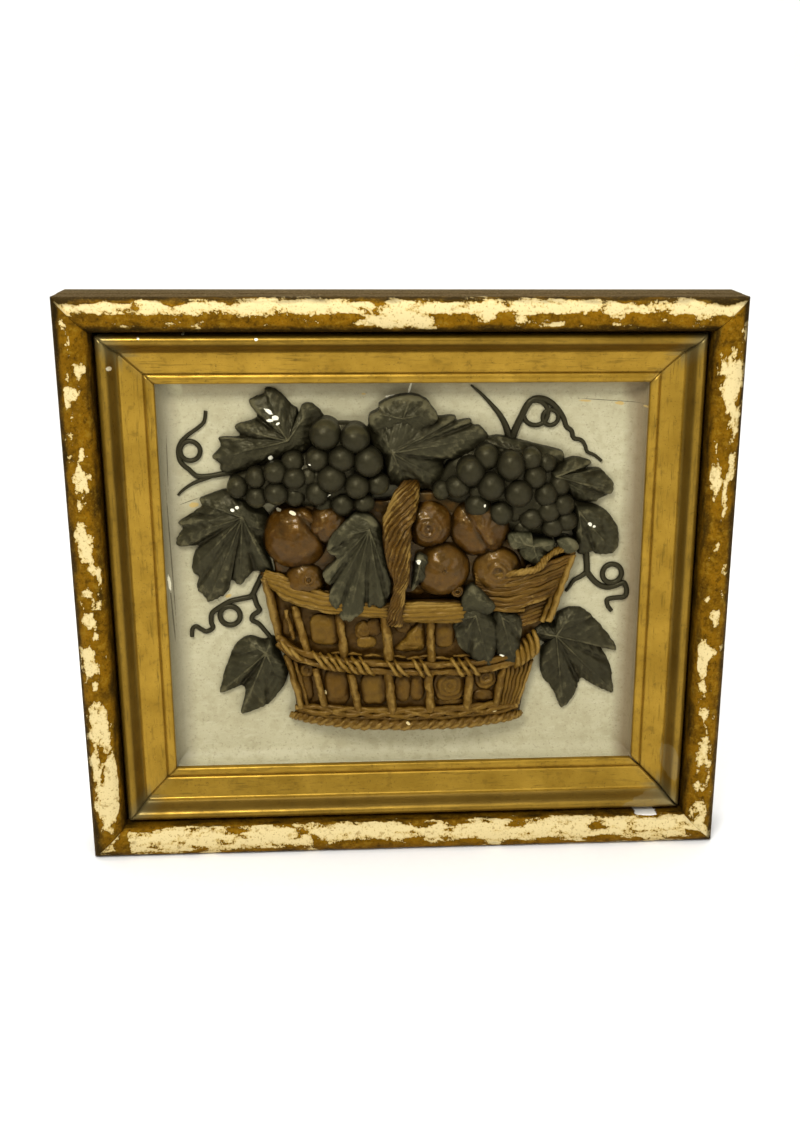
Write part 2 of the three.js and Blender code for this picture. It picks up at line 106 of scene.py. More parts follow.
def raggedSpots(tree, place, marks, grainMm):
    # each mark: x, z, half width, half height in mm and its turn in degrees; the mask passes 0.5 inside
    rough = addNode(tree, "TexNoise", None, {
        "Vector": place, "Scale": 1 / (grainMm * mm), "Detail": 4.0, "Roughness": 0.7})
    total = None
    for x, z, halfWide, halfTall, turn in marks:
        local = addNode(tree, "Mapping", {"vector_type": "TEXTURE"}, {
            "Vector": place, "Location": (x * mm, 0, z * mm), "Rotation": (0, math.radians(-turn), 0),
            "Scale": (halfWide * mm, 1000, halfTall * mm)})
        away = addNode(tree, "VectorMath", {"operation": "LENGTH"}, {0: local}, "Value")
        near = addNode(tree, "Math", {"operation": "SUBTRACT"}, {0: 1.0, 1: away})
        if total is None:
            total = near
        else:
            total = addNode(tree, "Math", {"operation": "MAXIMUM"}, {0: total, 1: near})
    return addNode(tree, "Math", {"operation": "ADD"}, {0: total, 1: rough})


def rawBack(tree, place, colour, code, depthMm):
    # bare material on the faces that lie within a few millimetres of the wall
    depth = addNode(tree, "SeparateXYZ", None, {"Vector": place}, "Y")
    back = addNode(tree, "MapRange", None, {
        "Value": depth, "From Min": -(depthMm + 1) * mm, "From Max": -depthMm * mm})
    return back, layOver(tree, colour, [(back, 0.0, 1.0, 1.0, code)])


def finishMaterial(tree, shader, colour, sheen, relief, depthMm):
    # sheen: a mask and the roughness at its low and high values; relief: (mask, weight) pairs summed as bump
    mask, smooth, dull = sheen
    roughness = addNode(tree, "MapRange", None, {
        "Value": mask, "From Min": 0.3, "From Max": 0.7, "To Min": smooth, "To Max": dull})
    tree.links.new(colour, shader.inputs["Base Color"])
    tree.links.new(roughness, shader.inputs["Roughness"])
    height = 0.0
    for layer, weight in relief:
        height = addNode(tree, "Math", {"operation": "MULTIPLY_ADD"}, {0: layer, 1: weight, 2: height})
    bump = addNode(tree, "Bump", None, {"Height": height, "Distance": depthMm * mm, "Strength": 0.6})
    tree.links.new(bump, shader.inputs["Normal"])


def glazedPaint(name, look):
    # oil paint on cast plaster under a brown glaze, rubbed off the high points; the hollows are darkened both
    # by the glaze that settles there and by painted shade
    material, tree, shader, place, (cloud, blotch, fine) = startMaterial(
        name, look["surface"], look["grainMm"])
    hollow = addNode(tree, "Attribute", {"attribute_name": "hollow"}, None, "Fac")
    tone = addNode(tree, "Attribute", {"attribute_name": "tone"}, None, "Fac")
    mottled = addNode(tree, "Math", {"operation": "MULTIPLY_ADD"}, {0: fine, 1: 0.3, 2: hollow})
    proud = addNode(tree, "Math", {"operation": "SUBTRACT"}, {0: blotch, 1: mottled})
    # glazeAndShade darkens the hollows: the glaze settled there, and painted shade
    colour = layOver(tree, look["paint"], [
        (cloud, 0.35, 0.65, 1.0, look["second"]),
        (tone, 0.0, 1.0, look["toneCover"], look["pale"]),
        (proud, look["rubFrom"], look["rubFrom"] + 0.3, 0.6, look["rubbed"]),
        (fine, 0.64, 0.72, 0.4, look["rubbed"]),
        (mottled, look["glazeAndShadeFrom"], look["glazeAndShadeFrom"] + 0.45, look["glazeAndShadeCover"], look["glazeAndShade"]),
        (raggedSpots(tree, place, look["chips"], 2.2), 0.5, 0.62, 1.0, look["chipColour"])])
    finishMaterial(tree, shader, colour, (fine, *look["roughness"]), [(fine, 0.5), (blotch, 1.0)], 0.5)
    return material


groundDepth = 15    # how far the cast ground lies in front of the back


def onPanel(x, z, height):
    return Vector((x * mm, -(groundDepth + height) * mm, z * mm))


def bentGrid(bm, around, along, place, tone=0.0):
    # a flat grid bent into shape: place(u, w) gives each point, u and w run from 0 to 1
    toneLayer = bm.verts.layers.float.get("tone") or bm.verts.layers.float.new("tone")
    made = bmesh.ops.create_grid(bm, x_segments=around, y_segments=along, size=0.5)["verts"]
    for v in made:
        v.co = place(unit(v.co.x + 0.5), unit(v.co.y + 0.5))
        v[toneLayer] = tone
    bmesh.ops.remove_doubles(bm, verts=made, dist=2e-6)


def finishPiece(name, bm, material, replaced="relief_panel"):
    bmesh.ops.recalc_face_normals(bm, faces=bm.faces)
    mesh = bpy.data.meshes.new(name)
    bm.to_mesh(mesh)
    bm.free()
    mesh.shade_smooth()
    mesh.materials.append(material)
    piece = bpy.data.objects.new(name, mesh)
    scene.collection.objects.link(piece)
    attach(piece, "root")
    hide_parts(replaced)
    return piece


def smoothLine(points, t, closed=False):
    # Catmull-Rom through points of any length
    count = len(points)
    spans = count if closed else count - 1
    at = unit(t) * spans
    i = min(int(at), spans - 1)
    f = at - i
    near = [points[k % count] if closed else points[min(max(k, 0), count - 1)] for k in range(i - 1, i + 3)]
    return [0.5 * (2 * q + (r - p) * f + (2 * p - 5 * q + 4 * r - s) * f * f
                   + (3 * q - p - 3 * r + s) * f ** 3)
            for p, q, r, s in zip(*near)]


def sweptTube(bm, stations, around=12, along=40, flat=1.0, strands=0, groove=0.2, turns=0.0, fibres=0,
              closed=False, tone=0.0):
    # a tube through (x, z, height, radius) stations; strands and turns give a laid rope
    front = Vector((0, -1, 0))
    rows = []
    for i in range(along + 1):
        t = i / along
        x, z, height, radius = smoothLine(stations, t, closed)
        before = smoothLine(stations, (t - 0.004) % 1 if closed else t - 0.004, closed)
        after = smoothLine(stations, (t + 0.004) % 1 if closed else t + 0.004, closed)
        direction = onPanel(*after[:3]) - onPanel(*before[:3])
        side = direction.cross(front).normalized()
        rows.append((onPanel(x, z, height), side, side.cross(direction).normalized(),
                     max(radius, 0.05) * mm))

    def place(u, w):
        centre, side, up, radius = rows[round(w * along)]
        turn = 2 * math.pi * u
        if strands:
            radius *= 1 - groove * (1 - abs(math.cos(strands * turn / 2)))
        if fibres:
            radius *= 1 + 0.04 * math.cos(fibres * turn)
        turn += 2 * math.pi * turns * w
        return centre + side * (radius * math.cos(turn)) + up * (radius * flat * math.sin(turn))
    bentGrid(bm, around, along, place, tone)
    if not closed:
        bmesh.ops.holes_fill(bm, edges=[e for e in bm.edges if e.is_boundary], sides=0)


def boss(bm, x, z, wide, tall, middle, squash=1.0, square=2.0, around=20, rings=14, tone=0.0, shape=None):
    # a round or boxy form that rises straight from the ground and is domed on top; shape(dx, dz) adds height
    domePart, wallPart = 0.66, 0.9
    dome = squash * (wide + tall) / 2

    def place(u, w):
        turn = 2 * math.pi * u
        if w <= domePart:
            lean = math.pi / 2 * (w / domePart)
            reach, height = math.sin(lean), middle + dome * math.cos(lean)
        elif w <= wallPart:
            reach, height = 1, middle + (-1.5 - middle) * (w - domePart) / (wallPart - domePart)
        else:
            reach, height = 1 - (w - wallPart) / (1 - wallPart), -1.5
        blunt = (abs(math.cos(turn)) ** square + abs(math.sin(turn)) ** square) ** (-1 / square)
        dx, dz = reach * wide * blunt * math.cos(turn), reach * tall * blunt * math.sin(turn)
        if shape and w <= domePart:
            height += shape(dx, dz) * math.cos(math.pi / 2 * (w / domePart) ** 3)
        return onPanel(x + dx, z + dz, height)
    bentGrid(bm, around, rings, place, tone)


def beside(x, z, start, end):
    # how far a point lies along a line from start to end, and how far off it
    dx, dz = end[0] - start[0], end[1] - start[1]
    length = math.hypot(dx, dz)
    along = ((x - start[0]) * dx + (z - start[1]) * dz) / length
    off = abs((x - start[0]) * dz - (z - start[1]) * dx) / length
    if along < 0:
        off, along = math.hypot(off, along), 0
    return off, along, length


cameraLook = {
    "place": (-0.0362, -1.0206, 0.3217),
    "heading": -4.05,    # degrees about Z, clockwise from +Y
    "pitch": -17.55,
    "roll": 0.42,
    "lens": 42.2,
    "shiftX": -0.0433,
}


def placeCamera(look):
    data = bpy.data.cameras.new("camera")
    data.lens = look["lens"]
    data.sensor_width = 36
    data.shift_x = look["shiftX"]
    data.clip_start = 0.05
    camera = bpy.data.objects.new("camera", data)
    turn = Matrix.Rotation(math.radians(look["heading"]), 4, "Z")
    tilt = Matrix.Rotation(math.radians(90 + look["pitch"]), 4, "X")
    roll = Matrix.Rotation(math.radians(look["roll"]), 4, "Z")
    camera.matrix_world = Matrix.Translation(look["place"]) @ turn @ tilt @ roll
    scene.collection.objects.link(camera)
    scene.camera = camera


lightLook = {
    "world": ("#FFFFFF", 0.42),
    "floor": "#F6F5F2",
    "sweep": {"behind": 1.6, "radius": 0.8, "high": 3.0, "halfWide": 6.0, "front": -5.0},
    "lamps": [    # name, place, size, power
        ("key", (-0.5, -1.3, 1.25), 0.5, 26),
        ("fill", (1.1, -1.4, 0.5), 1.0, 7),
        ("top", (0.2, -0.8, 1.4), 0.6, 4),
        ("backdrop", (0.0, 0.7, 2.4), 2.0, 48),
    ],
}


def lightScene(look):
    world = bpy.data.worlds.new("studio")
    world.use_nodes = True
    background = world.node_tree.nodes["Background"]
    background.inputs[0].default_value = linear(look["world"][0])
    background.inputs[1].default_value = look["world"][1]
    scene.world = world
    for name, spot, size, power in look["lamps"]:
        data = bpy.data.lights.new(name, "AREA")
        data.energy = power
        data.size = size
        lamp = bpy.data.objects.new(name, data)
        aim = Vector((0, 1.6, 0.4)) if name == "backdrop" else Vector((0, 0, 0))
        lamp.location = spot
        lamp.rotation_euler = (aim - Vector(spot)).to_track_quat("-Z", "Y").to_euler()
        scene.collection.objects.link(lamp)

    # a paper sweep: flat under the plaque and curved up behind it
    sweep = look["sweep"]
    level = cadBox[0][2] - 0.0002
    bm = bmesh.new()
    made = bmesh.ops.create_grid(bm, x_segments=1, y_segments=24, size=1)["verts"]
    for v in made:
        t = round((v.co.y + 1) * 12)
        if t <= 1:
            y, z = (sweep["front"], sweep["behind"])[t], 0
        elif t <= 22:
            bend = math.pi / 2 * (t - 1) / 21
            y = sweep["behind"] + sweep["radius"] * math.sin(bend)
            z = sweep["radius"] * (1 - math.cos(bend))
        else:
            y = sweep["behind"] + sweep["radius"]
            z = sweep["radius"] + (sweep["high"] - sweep["radius"]) * (t - 22) / 2
        v.co = (v.co.x * sweep["halfWide"], y, level + z)
    mesh = bpy.data.meshes.new("paper_sweep")
    bm.to_mesh(mesh)
    bm.free()
    mesh.shade_smooth()
    floor = bpy.data.objects.new("paper_sweep", mesh)
    scene.collection.objects.link(floor)
    # Matt background paper: uncoated wood pulp, even and pale, with almost no gloss.
    paper, tree, shader, _, (fibre,) = startMaterial("matt_background_paper", {
        "Base Color": look["floor"], "Roughness": 0.9, "Specular IOR Level": 0.1}, (6,))
    finishMaterial(tree, shader, layOver(tree, look["floor"], [(fibre, 0.4, 0.6, 0.1, "#EDEBE6")]),
                   (fibre, 0.88, 0.94), [(fibre, 0.2)], 0.1)
    mesh.materials.append(paper)


placeCamera(cameraLook)
lightScene(lightLook)
print("camera, light and floor set")

frameWidth, frameHeight = 500, 440.5
mitreGap = 0.15
shoulder, halfRound, crestRise = 50, 12.5, 9.9    # outer moulding: depth of its side, half width, rise
sightInset, panelInset = 65.5, 59.4    # from the outer side to the slip's sight edge, and to the casting

# For each rail: how far it has flaked everywhere, how much more it has along some insets, and its patches
# as place along the rail, inset, half length, half width and strength.
railLook = {
    "gold": "#80590A", "bright": "#8C6A10", "bronze": "#5A3D06", "dark": "#241805",
    # shadeAndGrime: painted shade on the half-round's shoulders, mixed with dirt
    "gesso": "#BCA366", "cream": "#CFBC88", "stain": "#80611F", "wood": "#6F5334", "shadeAndGrime": "#1C170A",
    "scraps": [(193, -195, 10, 1.2, -3)], "scrapColour": "#F2F1EA",
    "flakeStep": 0.35,
    "top": {"bare": 0.15, "band": (6.5, 6.5, 0.72), "patches": [
        (-5, 17, 23, 5.5, 0.8), (-197, 20, 5, 1.6, 0.5), (57, 15, 8, 4, 0.5), (81, 14, 5, 3, 0.5),
        (110, 19, 5, 1.6, 0.4),
        (215, 11, 20, 4, 0.4), (-225, 1, 22, 3, -0.8), (-164, 2, 9, 3, -0.8), (-200, 2, 7, 2.5, -0.6),
        (-125, 2, 3, 3, -0.6), (-20, 2, 5, 3, -0.6), (30, 1, 8, 2, -0.4), (150, 1, 8, 2, -0.4),
        (228, 2, 14, 3, -0.6)]},
    "bottom": {"bare": 0.36, "band": (16, 11, 0.42), "patches": [
        (-40, 5, 24, 8, -0.8), (5, 6, 12, 7, -0.6), (38, 4, 16, 6, -0.6), (88, 4, 10, 4, -0.4),
        (-100, 3, 14, 4, -0.4),
        (-70, 10, 5, 4, -0.3), (-75, 14, 4, 3, -0.4), (-160, 20, 6, 1.5, -0.4), (160, 6, 14, 4, -0.4),
        (155, 21, 5, 2, -0.4), (12, 22, 10, 2, -0.4), (-212, 24, 10, 1.5, -0.5), (240, 4, 8, 6, -0.4),
        (-226, 14, 5, 10, -0.7)]},
    "left": {"bare": 0.0, "band": (11, 8, 0.08), "patches": [
        (-170, 13, 22, 8, 0.9), (-150, 20, 26, 5, 0.9), (-138, 7, 10, 5, 0.7), (-105, 13, 17, 9, 0.95),
        (-56, 8, 11, 7, 0.7),
        (-72, 12, 4, 3, 0.5), (-42, 8, 4, 5, 0.5), (-31, 15, 6, 2, 0.4), (-18, 12, 7, 5, 0.7),
        (-7, 18, 5, 4, 0.7),
        (3, 13, 4, 6, 0.6), (10, 21, 12, 2, 0.7), (20, 17, 4, 5, 0.5), (36, 14, 11, 5, 0.8),
        (50, 10, 8, 4, 0.6),
        (74, 12, 9, 4, 0.7), (90, 14, 8, 6, 0.75), (109, 16, 4, 3, 0.7), (140, 9, 18, 4, 0.5),
        (153, 13, 5, 5, 0.6),
        (169, 18, 5, 4, 0.7), (192, 10, 12, 3, 0.35), (-213, 9, 5, 2, 0.6)]},
    "right": {"bare": 0.0, "band": (12, 8, 0.08), "patches": [
        (-212, 14, 8, 12, 0.8), (-193, 14, 13, 8, 0.65), (-168, 14, 5, 6, 0.5), (-138, 13, 14, 6, 0.7),
        (-105, 15, 5, 4, 0.6),
        (-84, 18, 11, 3, 0.7), (-58, 19, 17, 4, 0.8), (-53, 13, 5, 4, 0.6), (-47, 3, 5, 4, 0.7),
        (-24, 11, 7, 4, 0.6),
        (-10, 19, 4, 2, 0.5), (14, 5, 6, 4, 0.5), (33, 15, 5, 4, 0.5), (70, 11, 16, 2.5, 0.6),
        (85, 19, 10, 5, 0.75),
        (95, 6, 11, 4, 0.7), (112, 20, 5, 2, 0.4), (125, 7, 11, 5, 0.65), (147, 11, 13, 9, 0.75),
        (167, 12, 14, 10, 0.75),
        (196, 4, 8, 4, 0.6)]},
}

# The slip: chips and the clouded film as x, z, half width, half height and turn.
slipLook = {
    "surface": {"IOR": 1.5, "Specular Tint": "#FFE6A6"},
    "gold": "#A27F2A", "warm": "#8A6A1D", "dull": "#3A290C", "streak": "#54400F", "pit": "#33280C",
    # cornerDarkening: the slip turns darker and greyer towards the mitred corners
    "cornerDarkening": "#6B6444",
    "chips": [(-107.5, 189.5, 1.4, 1.1, 0), (-191, 190.5, 1.1, 0.9, 0), (-160, 193, 1.3, 0.7, 0),
              (-213.5, 168.5, 1.8, 1.8, 0)],
    "chipColour": "#E9E2C4",
    "film": [(198, -187, 22, 6, 8), (214, -152, 7, 16, 10)], "filmColour": "#8A7D58",
    "openCorner": 1.0,
}


def outerSection():
    # inset from the outer side and depth from the back
    points = [(0, shoulder * i / 26) for i in range(26)]
    for i in range(35):
        turn = math.pi * (1 - i / 34)
        points.append((halfRound * (1 + math.cos(turn)), shoulder + crestRise * math.sin(turn) ** 0.9))
    points += [(25, 46.5), (25, 43), (25, 39.5), (25, 36), (21.5, 36), (18, 36), (18, 24), (18, 12),
               (18, 0), (9, 0)]
    return points


def slipSection():
    points = [(18.4, 1.5), (18.4, 12), (18.4, 24), (18.4, 35.6), (22.7, 35.6)]
    points += [(27, 35.6), (27, 39), (27, 42.5), (27.3, 44.6), (27.9, 46.3), (28.8, 47.7), (30, 48.7),
               (31.4, 49.3)]
    points += [(32.8, 49.2), (34.2, 48.4), (35.5, 47), (36.8, 44.9), (38, 42.6), (39.2, 40.5), (40.3, 39.1)]
    points += [(41.4, 38.3), (41.4, 36.9)]
    points += [(41.4 + 16.2 * i / 12, 36.9 - 4.8 * i / 12) for i in range(1, 13)] + [(57.8, 30.9)]
    for i in range(13):
        turn = math.pi * (1 - i / 12)
        points.append((61.8 + 3.7 * math.cos(turn), 30.6 + 2.2 * math.sin(turn)))
    return points + [(sightInset, 29), (sightInset, 27.4), (62, 27.4), (59, 27.4), (59, 18), (59, 9),
                     (59, 1.5), (45, 1.5), (31, 1.5)]


def flakeAt(side, inset, depth, spot):
    # how far the gilding has gone here: above 0.5 the pale gesso shows
    look = railLook[side]
    level = side in ("top", "bottom")
    along, across = (spot.x, spot.z) if level else (spot.z, spot.x)
    grain = Vector((along / (16 if level else 9), across / 5, spot.y / 5))
    value = look["bare"] + 0.5 * noise.fractal(grain, 1.0, 2.1, 5) + 0.3 * noise.noise(spot / 30)
    value += 0.22 * noise.fractal(spot / 2.6, 1.0, 2.0, 3)
    middle, half, more = look["band"]
    value += more * max(0, 1 - ((inset - middle) / half) ** 2)
    if depth < shoulder:
        value -= (shoulder - depth) * (0.08 if level else 0.03)
    for place, depthIn, halfLong, halfWide, strength in look["patches"]:
        away = math.hypot((along - place) / halfLong, (inset - depthIn) / halfWide)
        value += strength * unit(1.5 - away)
    last = 24 if side == "bottom" else 22
    if inset > last:
        value -= (inset - last) * 0.4
    return unit(value)


def shadeAndGrimeAt(side, inset, depth, spot):
    # dark paint on the outer face; painted shade along both shoulders of the half-round, set for each side by
    # how the light falls; darker towards the corners; and a smear of dirt
    if inset < 1 and depth < shoulder - 1:
        return 0.9 if side in ("top", "bottom") else 0.75
    outer, inner = {"top": (0.85, 0.9), "bottom": (0.6, 0.3)}.get(side, (1.1, 0.4))
    settled = max(outer * (1 - inset / 7), inner * (inset - 18) / 6, 0)
    corner = max(0, 1 - math.hypot(abs(spot.x) - frameWidth / 2, abs(spot.z) - frameHeight / 2) / 45)
    smear = noise.fractal(Vector((spot.x / 18, spot.y / 4, spot.z / 18)), 1.0, 2.0, 4)
    return unit(settled + 0.5 * corner + 0.4 * smear - 0.05)


def gildedMaterials():
    # Flaked gilding: bronze-gold paint over gesso on wood, metallic where it holds, chalky where bare.
    gesso, tree, shader, place, (cloud, blotch, fine) = startMaterial("flaked_gilt_gesso", {
        "IOR": 1.5, "Specular IOR Level": 0.3, "Specular Tint": "#FFDC7A"}, (20, 5, 1.5))
    flake = addNode(tree, "Attribute", {"attribute_name": "flake"}, None, "Fac")
    shadeAndGrime = addNode(tree, "Attribute", {"attribute_name": "shadeAndGrime"}, None, "Fac")
    speckled = addNode(tree, "Math", {"operation": "MULTIPLY_ADD"}, {0: blotch, 1: 0.35, 2: flake})
    worn = addNode(tree, "Math", {"operation": "MULTIPLY_ADD"}, {0: fine, 1: 0.8, 2: speckled})
    # the two shadeAndGrime layers paint shade along the moulding's shoulders and darken it towards the
    # corners, besides dirt
    colour = layOver(tree, railLook["gold"], [
        (cloud, 0.42, 0.62, 0.8, railLook["bronze"]), (blotch, 0.45, 0.34, 0.8, railLook["bright"]),
        (blotch, 0.55, 0.68, 0.5, railLook["dark"]), (fine, 0.58, 0.66, 0.5, railLook["dark"]),
        (shadeAndGrime, 0.12, 0.8, 0.93, railLook["shadeAndGrime"]), (worn, 0.97, 1.05, 0.7, railLook["dark"]),
        (worn, 1.06, 1.09, 1.0, railLook["gesso"]), (worn, 1.14, 1.3, 1.0, railLook["cream"]),
        (fine, 0.42, 0.34, 0.7, railLook["stain"]), (blotch, 0.42, 0.32, 0.6, railLook["stain"]),
        (shadeAndGrime, 0.3, 0.85, 0.75, railLook["dark"]),
        (raggedSpots(tree, place, railLook["scraps"], 8), 0.5, 0.55, 1.0, railLook["scrapColour"])])
    back, colour = rawBack(tree, place, colour, railLook["wood"], 0.5)
    bare = addNode(tree, "Math", {"operation": "ADD"}, {0: worn, 1: back})
    metal = addNode(tree, "MapRange", None,
                    {"Value": bare, "From Min": 1.0, "From Max": 1.06, "To Min": 0.65, "To Max": 0.0})
    tree.links.new(metal, shader.inputs["Metallic"])
    finishMaterial(tree, shader, colour, (worn, 0.34, 0.7), [(fine, 0.3), (worn, -0.6)], 0.4)

    # Leaf gilding on a wood slip: bright on the flat, dulled on the outer bead with painted shade on the
    # bead's flanks, brown where rubbed along its length, with fine pits, darker towards the mitred corners.
    slip, tree, shader, place, (cloud, blotch, fine) = startMaterial(
        "leaf_gilded_slip", slipLook["surface"], (30, 6, 1.5))
    masks = {}
    for key in ("alongX", "worn", "corner"):
        masks[key] = addNode(tree, "Attribute", {"attribute_name": key}, None, "Fac")
    streaks = []
    for stretch in ((1, 1, 0.1), (0.1, 1, 1)):
        spread = addNode(tree, "Mapping", None, {"Vector": place, "Scale": stretch})
        streaks.append(addNode(tree, "TexNoise", None, {
            "Vector": spread, "Scale": 1 / (2.4 * mm), "Detail": 5.0, "Roughness": 0.65}))
    streak = addNode(tree, "Mix", {"data_type": "FLOAT"},
                     {0: masks["alongX"], 2: streaks[0], 3: streaks[1]})
    # the worn mask dulls the outer bead and darkens its flanks further as painted shade; the corner mask
    # darkens the gilding towards the mitred corners
    colour = layOver(tree, slipLook["gold"], [
        (cloud, 0.35, 0.65, 1.0, slipLook["warm"]), (masks["worn"], 0.0, 1.0, 0.85, slipLook["dull"]),
        (blotch, 0.55, 0.7, 0.3, slipLook["dull"]), (streak, 0.55, 0.68, 0.6, slipLook["streak"]),
        (fine, 0.62, 0.7, 0.6, slipLook["pit"]), (masks["corner"], 0.2, 1.0, 0.8, slipLook["cornerDarkening"]),
        (raggedSpots(tree, place, slipLook["film"], 12), 0.5, 0.6, 0.35, slipLook["filmColour"]),
        (raggedSpots(tree, place, slipLook["chips"], 2.5), 0.55, 0.65, 1.0, slipLook["chipColour"])])
    back, colour = rawBack(tree, place, colour, railLook["wood"], 2)
    metal = addNode(tree, "MapRange", None, {"Value": back, "To Min": 0.6, "To Max": 0.0})
    tree.links.new(metal, shader.inputs["Metallic"])
    finishMaterial(tree, shader, colour, (streak, 0.26, 0.46), [(streak, 0.4), (fine, -0.3)], 0.3)
    return gesso, slip


def buildRail(side, turn, outer, material):
    section = outerSection() if outer else slipSection()
    halfAcross = (frameHeight if turn % 2 == 0 else frameWidth) / 2
    halfAlong = (frameWidth if turn % 2 == 0 else frameHeight) / 2
    along = (400 if turn % 2 == 0 else 350) if outer else 160
    spin = Matrix.Rotation(turn * math.pi / 2, 3, "Y")
    outward = spin @ Vector((0, 0, 1))
    bm = bmesh.new()
    marks = {key: bm.verts.layers.float.new(key) for key in ("flake", "shadeAndGrime", "alongX", "worn", "corner")}
    made = bmesh.ops.create_grid(bm, x_segments=len(section), y_segments=along, size=0.5)["verts"]
    for v in made:
        inset, depth = section[round((v.co.x + 0.5) * len(section)) % len(section)]
        t = v.co.y * 2
        gap = mitreGap
        if not outer and (side, t > 0) in (("right", True), ("bottom", False)):
            gap += slipLook["openCorner"] * abs(t) ** 12    # this mitre has opened
        point = spin @ Vector((t * (halfAlong - inset - gap), -depth, halfAcross - inset))
        v[marks["alongX"]] = 1.0 if turn % 2 == 0 else 0.0
        if outer:
            flake = flakeAt(side, inset, depth, point)
            v[marks["flake"]] = flake
            v[marks["shadeAndGrime"]] = shadeAndGrimeAt(side, inset, depth, point)
            if inset < 24.5 and depth > 30:
                step = unit((flake - 0.46) / 0.08) * railLook["flakeStep"]
                dent = 0.25 * noise.noise(point / 16) + 0.1 * noise.noise(point / 4)
                lift = dent - step - 0.3
                point += Vector((0, -lift, 0)) if depth > shoulder else outward * min(0, lift)
        else:
            # worn: the outer bead's gilding is dulled, and its flanks more than its crest as painted shade
            v[marks["worn"]] = (0.8 if depth < 47.5 else 0.4) if inset < 41.2 else 0.0
            # corner: darker towards the mitred corners
            v[marks["corner"]] = max(0, abs(t) - 0.9) * 9 * (1 if inset < 45 else 0.4)
            if 27 < inset < 65 and depth > 29:
                point += Vector((0, 0.15 + 0.15 * noise.noise(point / 20), 0))
        v.co = point * mm
    bmesh.ops.remove_doubles(bm, verts=bm.verts, dist=2e-6)
    bmesh.ops.triangle_fill(bm, edges=[e for e in bm.edges if e.is_boundary], use_beauty=True)
    name, slotName, replaced = ("outer_moulding_", "worn_gilt_gesso", "outer_rail_") if outer else (
        "gilt_slip_", "gilt_slip", "liner_")
    return finishPiece(name + side, bm, material, replaced + side)


gessoGold, leafGold = gildedMaterials()
for turn, side in enumerate(("top", "right", "bottom", "left")):
    buildRail(side, turn, True, gessoGold)
    buildRail(side, turn, False, leafGold)
print("frame built")

sightX, sightZ = frameWidth / 2 - sightInset, frameHeight / 2 - sightInset
panelX, panelZ = frameWidth / 2 - panelInset, frameHeight / 2 - panelInset

# Marks on the ground as x, z, half width, half height and turn.
groundLook = {
    "coveWidth": 11, "coveRise": 12,
    # painted shade in the side coves and under the top: grey on the left, brown on the right as a painted
    # reflection of the gilt
    "leftCoveShade": "#7B745C", "rightCoveShade": "#6E5A3C", "shadeWidth": 19,
    "surface": {"IOR": 1.5, "Specular IOR Level": 0.25},
    # dustAndShade: grey dust and painted shade in the hollows round the foot of the relief
    "paint": "#B2AB89", "shade": "#A09876", "dustAndShade": "#7A7152", "speck": "#8A8262", "brushed": "#C2BC9C",
    "cracks": [(-181, 20, 0.5, 70, 1), (-180, 92, 0.4, 26, -1), (-182, -30, 0.6, 26, 2),
               (160, 138, 34, 0.4, -4),
               (-165, 62, 11, 0.4, 20)],
    "crackColour": "#4E4732",
    "ochre": [(138, 138, 6, 0.9, -3), (165, 136, 4.5, 1.6, -5), (-162, 59, 4.5, 2.4, 10),
              (-139, -15, 3, 1.6, 20),
              (-31, 144, 2, 0.9, 0), (184, 135, 2, 1, 0)],
    "ochreColour": "#B49A5C",
    "chips": [(-9, 142, 7, 1.6, 3), (4, 149, 1, 6, -12), (-183, -2, 1, 8, 4)],
    "chipColour": "#EFE8C8", "plaster": "#B9B2A0",
}


def stonePaint(look):
    # Casein paint on cast plaster, brushed: a flat stone colour, cracked, with grey dust and painted shade in
    # the hollows round the relief, painted shade in the side coves and painted shadow mixed with brown dust
    # under the top.
    material, tree, shader, place, (cloud, blotch, fine) = startMaterial(
        "stone_paint_on_plaster", look["surface"], (70, 9, 1.8))
    strokes = addNode(tree, "Mapping", None,
                      {"Vector": place, "Rotation": (0, 0.35, 0), "Scale": (0.25, 1, 1)})
    brush = addNode(tree, "TexNoise", None, {
        "Vector": strokes, "Scale": 1 / (3 * mm), "Detail": 5.0, "Roughness": 0.7})
    hollow = addNode(tree, "Attribute", {"attribute_name": "hollow"}, None, "Fac")
    # edge carries painted shade: negative towards the left cove, positive towards the right cove and under
    # the top
    edge = addNode(tree, "Attribute", {"attribute_name": "edge"}, None, "Fac")
    colour = layOver(tree, look["paint"], [
        (cloud, 0.35, 0.65, 0.7, look["shade"]), (brush, 0.5, 0.66, 0.3, look["brushed"]),
        (blotch, 0.5, 0.62, 0.6, look["shade"]), (fine, 0.57, 0.68, 0.7, look["speck"]),
        (hollow, 0.3, 1.0, 0.4, look["dustAndShade"]), (edge, -0.1, -0.7, 0.75, look["leftCoveShade"]),
        (edge, 0.15, 0.75, 0.75, look["rightCoveShade"]),
        (raggedSpots(tree, place, look["cracks"], 6), 0.62, 0.85, 0.8, look["crackColour"]),
        (raggedSpots(tree, place, look["ochre"], 3), 0.62, 0.75, 1.0, look["ochreColour"]),
        (raggedSpots(tree, place, look["chips"], 3), 0.62, 0.75, 1.0, look["chipColour"])])
    _, colour = rawBack(tree, place, colour, look["plaster"], 1)
    finishMaterial(tree, shader, colour, (blotch, 0.5, 0.66),
                   [(fine, 0.9), (brush, 0.3), (blotch, 1.0)], 0.5)
    return material


def coveHeight(x, z):
    wide = groundLook["coveWidth"]
    out = max(abs(x) - (sightX - wide), abs(z) - (sightZ - wide), 0) / wide
    return groundLook["coveRise"] * (1 - math.sqrt(max(0, 1 - min(1, out) ** 2)))


def closerAtEdge(t, half, edge):
    # points along a side, closer together over the cove at its ends
    reach, middle = abs(2 * t - 1), 0.62
    far = reach / middle * (half - edge) if reach <= middle else half - edge * (1 - reach) / (1 - middle)
    return math.copysign(far, 2 * t - 1)


